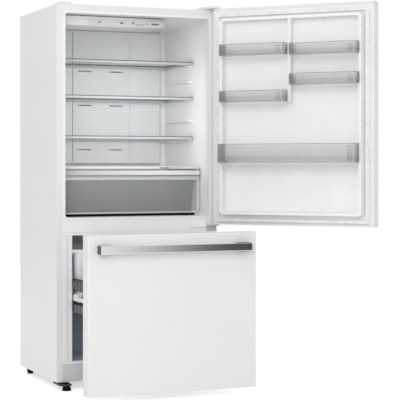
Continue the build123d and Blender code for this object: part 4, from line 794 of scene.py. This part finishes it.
class FRIDGE_OT_cabinet(bpy.types.Operator):
    """Finish of the outer sheets, liners, hinges and base"""
    bl_idname = "fridge.cabinet"
    bl_label = "Cabinet"

    def execute(self, context):
        m = materials
        dress(m["enamel"], "cabinet_shell")
        dress(m["mullion_white"], "mullion_cover")
        dress(m["zinc_sheet"], "back_panel", "machine_cover")
        dress(m["base_paint"], "base_pan")
        dress(m["liner_white"], "fridge_liner")
        dress(m["freezer_grey"], "freezer_liner")
        dress(m["foam_cream"], "insulation_foam")
        dress(m["cover_white"], "hinge_covers", "top_hinge", "air_duct_panel", "evaporator_cover")
        dress(m["hinge_white"], "middle_hinge")
        dress(m["housing_grey"], "control_housing")
        dress(m["display_film"], "control_panel")
        control_marks()
        lip_beads()
        hinge_fairing()
        vent_plates()
        duct_seams()
        panel_screws()
        dress(m["frosted_lens"], "lamp_lens")
        return {"FINISHED"}


class FRIDGE_OT_cooling(bpy.types.Operator):
    """Finish of the cooling unit"""
    bl_idname = "fridge.cooling"
    bl_label = "Cooling unit"

    def execute(self, context):
        m = materials
        dress(m["fin_aluminium"], "evaporator_coil")
        dress(m["motor_grey"], "evaporator_fan_motor", "condenser_shroud")
        dress(m["compressor_black"], "compressor", "condenser_coil")
        dress(m["pan_black"], "drain_pan")
        dress(m["fan_white"], "evaporator_fan", "condenser_fan")
        return {"FINISHED"}


class FRIDGE_OT_feet(bpy.types.Operator):
    """Finish of the legs and rollers"""
    bl_idname = "fridge.feet"
    bl_label = "Feet"

    def execute(self, context):
        dress(materials["foot_black"], "leg_left", "leg_right", "roller_left", "roller_right")
        leg_collars()
        return {"FINISHED"}


class FRIDGE_OT_shelves(bpy.types.Operator):
    """Finish of the glass shelves and their rims"""
    bl_idname = "fridge.shelves"
    bl_label = "Shelves"

    def execute(self, context):
        for i in (1, 2, 3):
            dress(materials["shelf_glass"], f"shelf_glass_{i}")
            dress(materials[f"shelf_trim_{i}"], f"shelf_rim_{i}")
        return {"FINISHED"}


class FRIDGE_OT_crisper(bpy.types.Operator):
    """Finish of the vegetable drawer, its cover and the humidity slider"""
    bl_idname = "fridge.crisper"
    bl_label = "Crisper"

    def execute(self, context):
        dress(materials["crisper_white"], "crisper_cover")
        dress(materials["shelf_glass"], "crisper_glass")
        dress(materials["slider_dark"], "humidity_slider")
        dress(materials["bin_clear"], "crisper_drawer")
        crisper_gap_shadow()
        return {"FINISHED"}


class FRIDGE_OT_door(bpy.types.Operator):
    """Finish of the fridge door and its bins"""
    bl_idname = "fridge.door"
    bl_label = "Fridge door"

    def execute(self, context):
        dress(materials["enamel"], "door_skin")
        dress(materials["liner_white"], "door_liner")
        dress(materials["foam_cream"], "door_foam")
        dress(materials["cover_white"], "door_end_caps")
        dress(materials["gasket_grey"], "door_gasket")
        dress(materials["bar_upright"], "door_handle")
        for node in door_bins:
            dress(bin_finish(node, tuple(context.scene.fridge_clear.smoke)), node)
        bin_flutes()
        return {"FINISHED"}


class FRIDGE_OT_drawer(bpy.types.Operator):
    """Finish of the freezer drawer, its rails and baskets"""
    bl_idname = "fridge.drawer"
    bl_label = "Freezer drawer"

    def execute(self, context):
        dress(materials["enamel"], "drawer_skin")
        dress(materials["liner_white"], "drawer_liner")
        dress(materials["foam_cream"], "drawer_foam")
        dress(materials["gasket_grey"], "drawer_gasket")
        dress(materials["bar_along_x"], "drawer_handle")
        dress(materials["frame_white"], "basket_frame")
        dress(materials["basket_white"], "freezer_basket", "upper_basket")
        dress(materials["rail_zinc"], "rails_fixed", "pinion_shaft")
        dress(materials["runner_hatch"], "rails_middle")
        rail_carriers()
        basket_arms()
        return {"FINISHED"}


def lamp(name, size, power, place, target, gloss=True):
    """Soft rectangular lamp that faces a point."""
    light = bpy.data.lights.new(name, "AREA")
    light.shape, light.size, light.size_y = "RECTANGLE", *size
    light.energy = power
    holder = bpy.data.objects.new(name, light)
    bpy.context.scene.collection.objects.link(holder)
    holder.location = place
    holder.rotation_euler = (Vector(target) - Vector(place)).to_track_quat("-Z", "Y").to_euler()
    holder.visible_camera, holder.visible_glossy = False, gloss


def shown_directly(tree):
    """1 for what the camera sees directly, in gloss or through glass."""
    path = tree.nodes.new("ShaderNodeLightPath")
    seen = path.outputs["Is Camera Ray"]
    for ray in ("Is Glossy Ray", "Is Transmission Ray"):
        total = tree.nodes.new("ShaderNodeMath")
        total.operation = "MAXIMUM"
        tree.links.new(seen, total.inputs[0])
        tree.links.new(path.outputs[ray], total.inputs[1])
        seen = total.outputs[0]
    return seen


def sheet_object(name, corners, material):
    """Flat four-cornered piece of the stage."""
    mesh = bpy.data.meshes.new(name)
    mesh.from_pydata(corners, [], [(0, 1, 2, 3)])
    mesh.materials.append(material)
    piece = bpy.data.objects.new(name, mesh)
    bpy.context.scene.collection.objects.link(piece)
    return piece


def floor_paper(glow):
    """White paper that keeps shadows: a dull sheet with a glow that only views see."""
    finish = Finish("floor_paper", Roughness=0.9)
    finish.tones((0.88, 0.88, 0.88), (0.87, 0.87, 0.87), finish.noise(0.8))
    seen = finish.both(shown_directly(finish.tree), glow)
    lit = finish.node("ShaderNodeEmission", {"Strength": seen})
    both = finish.node("ShaderNodeAddShader", {0: finish.shader.outputs[0], 1: lit.outputs[0]})
    output = finish.tree.nodes["Material Output"]
    finish.tree.links.new(both.outputs[0], output.inputs["Surface"])
    return finish.material


def dark_flag():
    """Card at the front right that only gloss sees: pale at its near edge and dark further
    right, for the shading along the handle."""
    left, right, far, head = 1.5, 6.0, -6.0, 3.0
    fade_start, fade_end = 1.47, 2.50
    finish = Finish("flag_card", Roughness=1.0)
    shade = finish.ramp(finish.beyond("X", fade_start, fade_end), low=1.0, high=0.0)
    lit = finish.node("ShaderNodeEmission", {"Strength": shade})
    output = finish.tree.nodes["Material Output"]
    finish.tree.links.new(lit.outputs[0], output.inputs["Surface"])
    corners = [(left, far, 0.0), (right, far, 0.0), (right, far, head), (left, far, head)]
    card = sheet_object("flag", corners, finish.material)
    for ray in ("camera", "diffuse", "transmission", "shadow", "volume_scatter"):
        setattr(card, "visible_" + ray, False)


def studio_world(strength):
    """Even white light, and plain white for what is seen directly."""
    world = bpy.data.worlds.new("studio")
    bpy.context.scene.world = world
    world.use_nodes = True
    tree = world.node_tree
    room, white = tree.nodes["Background"], tree.nodes.new("ShaderNodeBackground")
    for background, value in ((room, strength), (white, 1.0)):
        background.inputs["Color"].default_value = (1.0, 1.0, 1.0, 1.0)
        background.inputs["Strength"].default_value = value
    mix = tree.nodes.new("ShaderNodeMixShader")
    tree.links.new(shown_directly(tree), mix.inputs["Fac"])
    tree.links.new(room.outputs[0], mix.inputs[1])
    tree.links.new(white.outputs[0], mix.inputs[2])
    tree.links.new(mix.outputs[0], tree.nodes["World Output"].inputs["Surface"])


class FRIDGE_OT_stage(bpy.types.Operator):
    """Floor, background, lamps and camera"""
    bl_idname = "fridge.stage"
    bl_label = "Stage"

    def execute(self, context):
        settings = context.scene.fridge_stage
        half = settings.floor_size / 2
        corners = [(-half, -half, 0), (half, -half, 0), (half, half, 0), (-half, half, 0)]
        sheet_object("floor", corners, floor_paper(settings.floor_glow))
        dark_flag()
        studio_world(settings.room)

        freezer_share, mouth = 0.12, front_y + 0.004
        lamp("key_softbox", (3.0, 3.2), settings.key, (-2.4, -4.8, 2.7), (0.0, -0.3, 1.0))
        lamp("fill_softbox", (3.2, 3.2), settings.fill, (3.4, -3.6, 1.8), (0.2, -0.3, 0.9),
             gloss=False)
        lamp("inside_light", (0.6, 0.5), settings.inside, (0.0, mouth, 1.25),
             (0.0, mouth + 1.0, 1.25), gloss=False)
        lamp("freezer_light", (0.4, 0.2), settings.inside * freezer_share, (0.0, mouth, 0.60),
             (0.0, mouth + 1.0, 0.45), gloss=False)

        data = bpy.data.cameras.new("photo_camera")
        camera = bpy.data.objects.new("photo_camera", data)
        context.scene.collection.objects.link(camera)
        camera.location = settings.camera_place
        camera.rotation_euler = (math.pi / 2, 0.0, -settings.camera_turn)
        data.sensor_width, data.lens = 36.0, settings.lens
        data.shift_y = settings.horizon_shift
        data.clip_start, data.clip_end = 0.1, 60.0
        context.scene.camera = camera
        context.scene.view_settings.view_transform = "Standard"
        return {"FINISHED"}


class FRIDGE_PT_panel(bpy.types.Panel):
    """Pieces of the refrigerator"""
    bl_label = "Refrigerator"
    bl_idname = "FRIDGE_PT_panel"
    bl_space_type = "VIEW_3D"
    bl_region_type = "UI"
    bl_category = "Refrigerator"

    def draw(self, context):
        for operator in operators:
            self.layout.operator(operator.bl_idname)
        for name in settings_groups:
            group = getattr(context.scene, name)
            box = self.layout.box()
            for key in group.__annotations__:
                box.prop(group, key)


settings_groups = {
    "fridge_cabinet": CabinetSettings,
    "fridge_liner": LinerSettings,
    "fridge_clear": ClearSettings,
    "fridge_metal": MetalSettings,
    "fridge_stage": StageSettings,
}
operators = (FRIDGE_OT_cabinet, FRIDGE_OT_cooling, FRIDGE_OT_feet, FRIDGE_OT_shelves,
             FRIDGE_OT_crisper, FRIDGE_OT_door, FRIDGE_OT_drawer, FRIDGE_OT_stage)


def register():
    for name, group in settings_groups.items():
        bpy.utils.register_class(group)
        setattr(bpy.types.Scene, name, PointerProperty(type=group))
    for operator in operators:
        bpy.utils.register_class(operator)
    bpy.utils.register_class(FRIDGE_PT_panel)


def unregister():
    bpy.utils.unregister_class(FRIDGE_PT_panel)
    for operator in reversed(operators):
        bpy.utils.unregister_class(operator)
    for name, group in settings_groups.items():
        delattr(bpy.types.Scene, name)
        bpy.utils.unregister_class(group)


def main():
    register()
    make_materials()
    for operator in operators:
        group, call = operator.bl_idname.split(".")
        getattr(getattr(bpy.ops, group), call)()


if __name__ == "__main__":
    main()
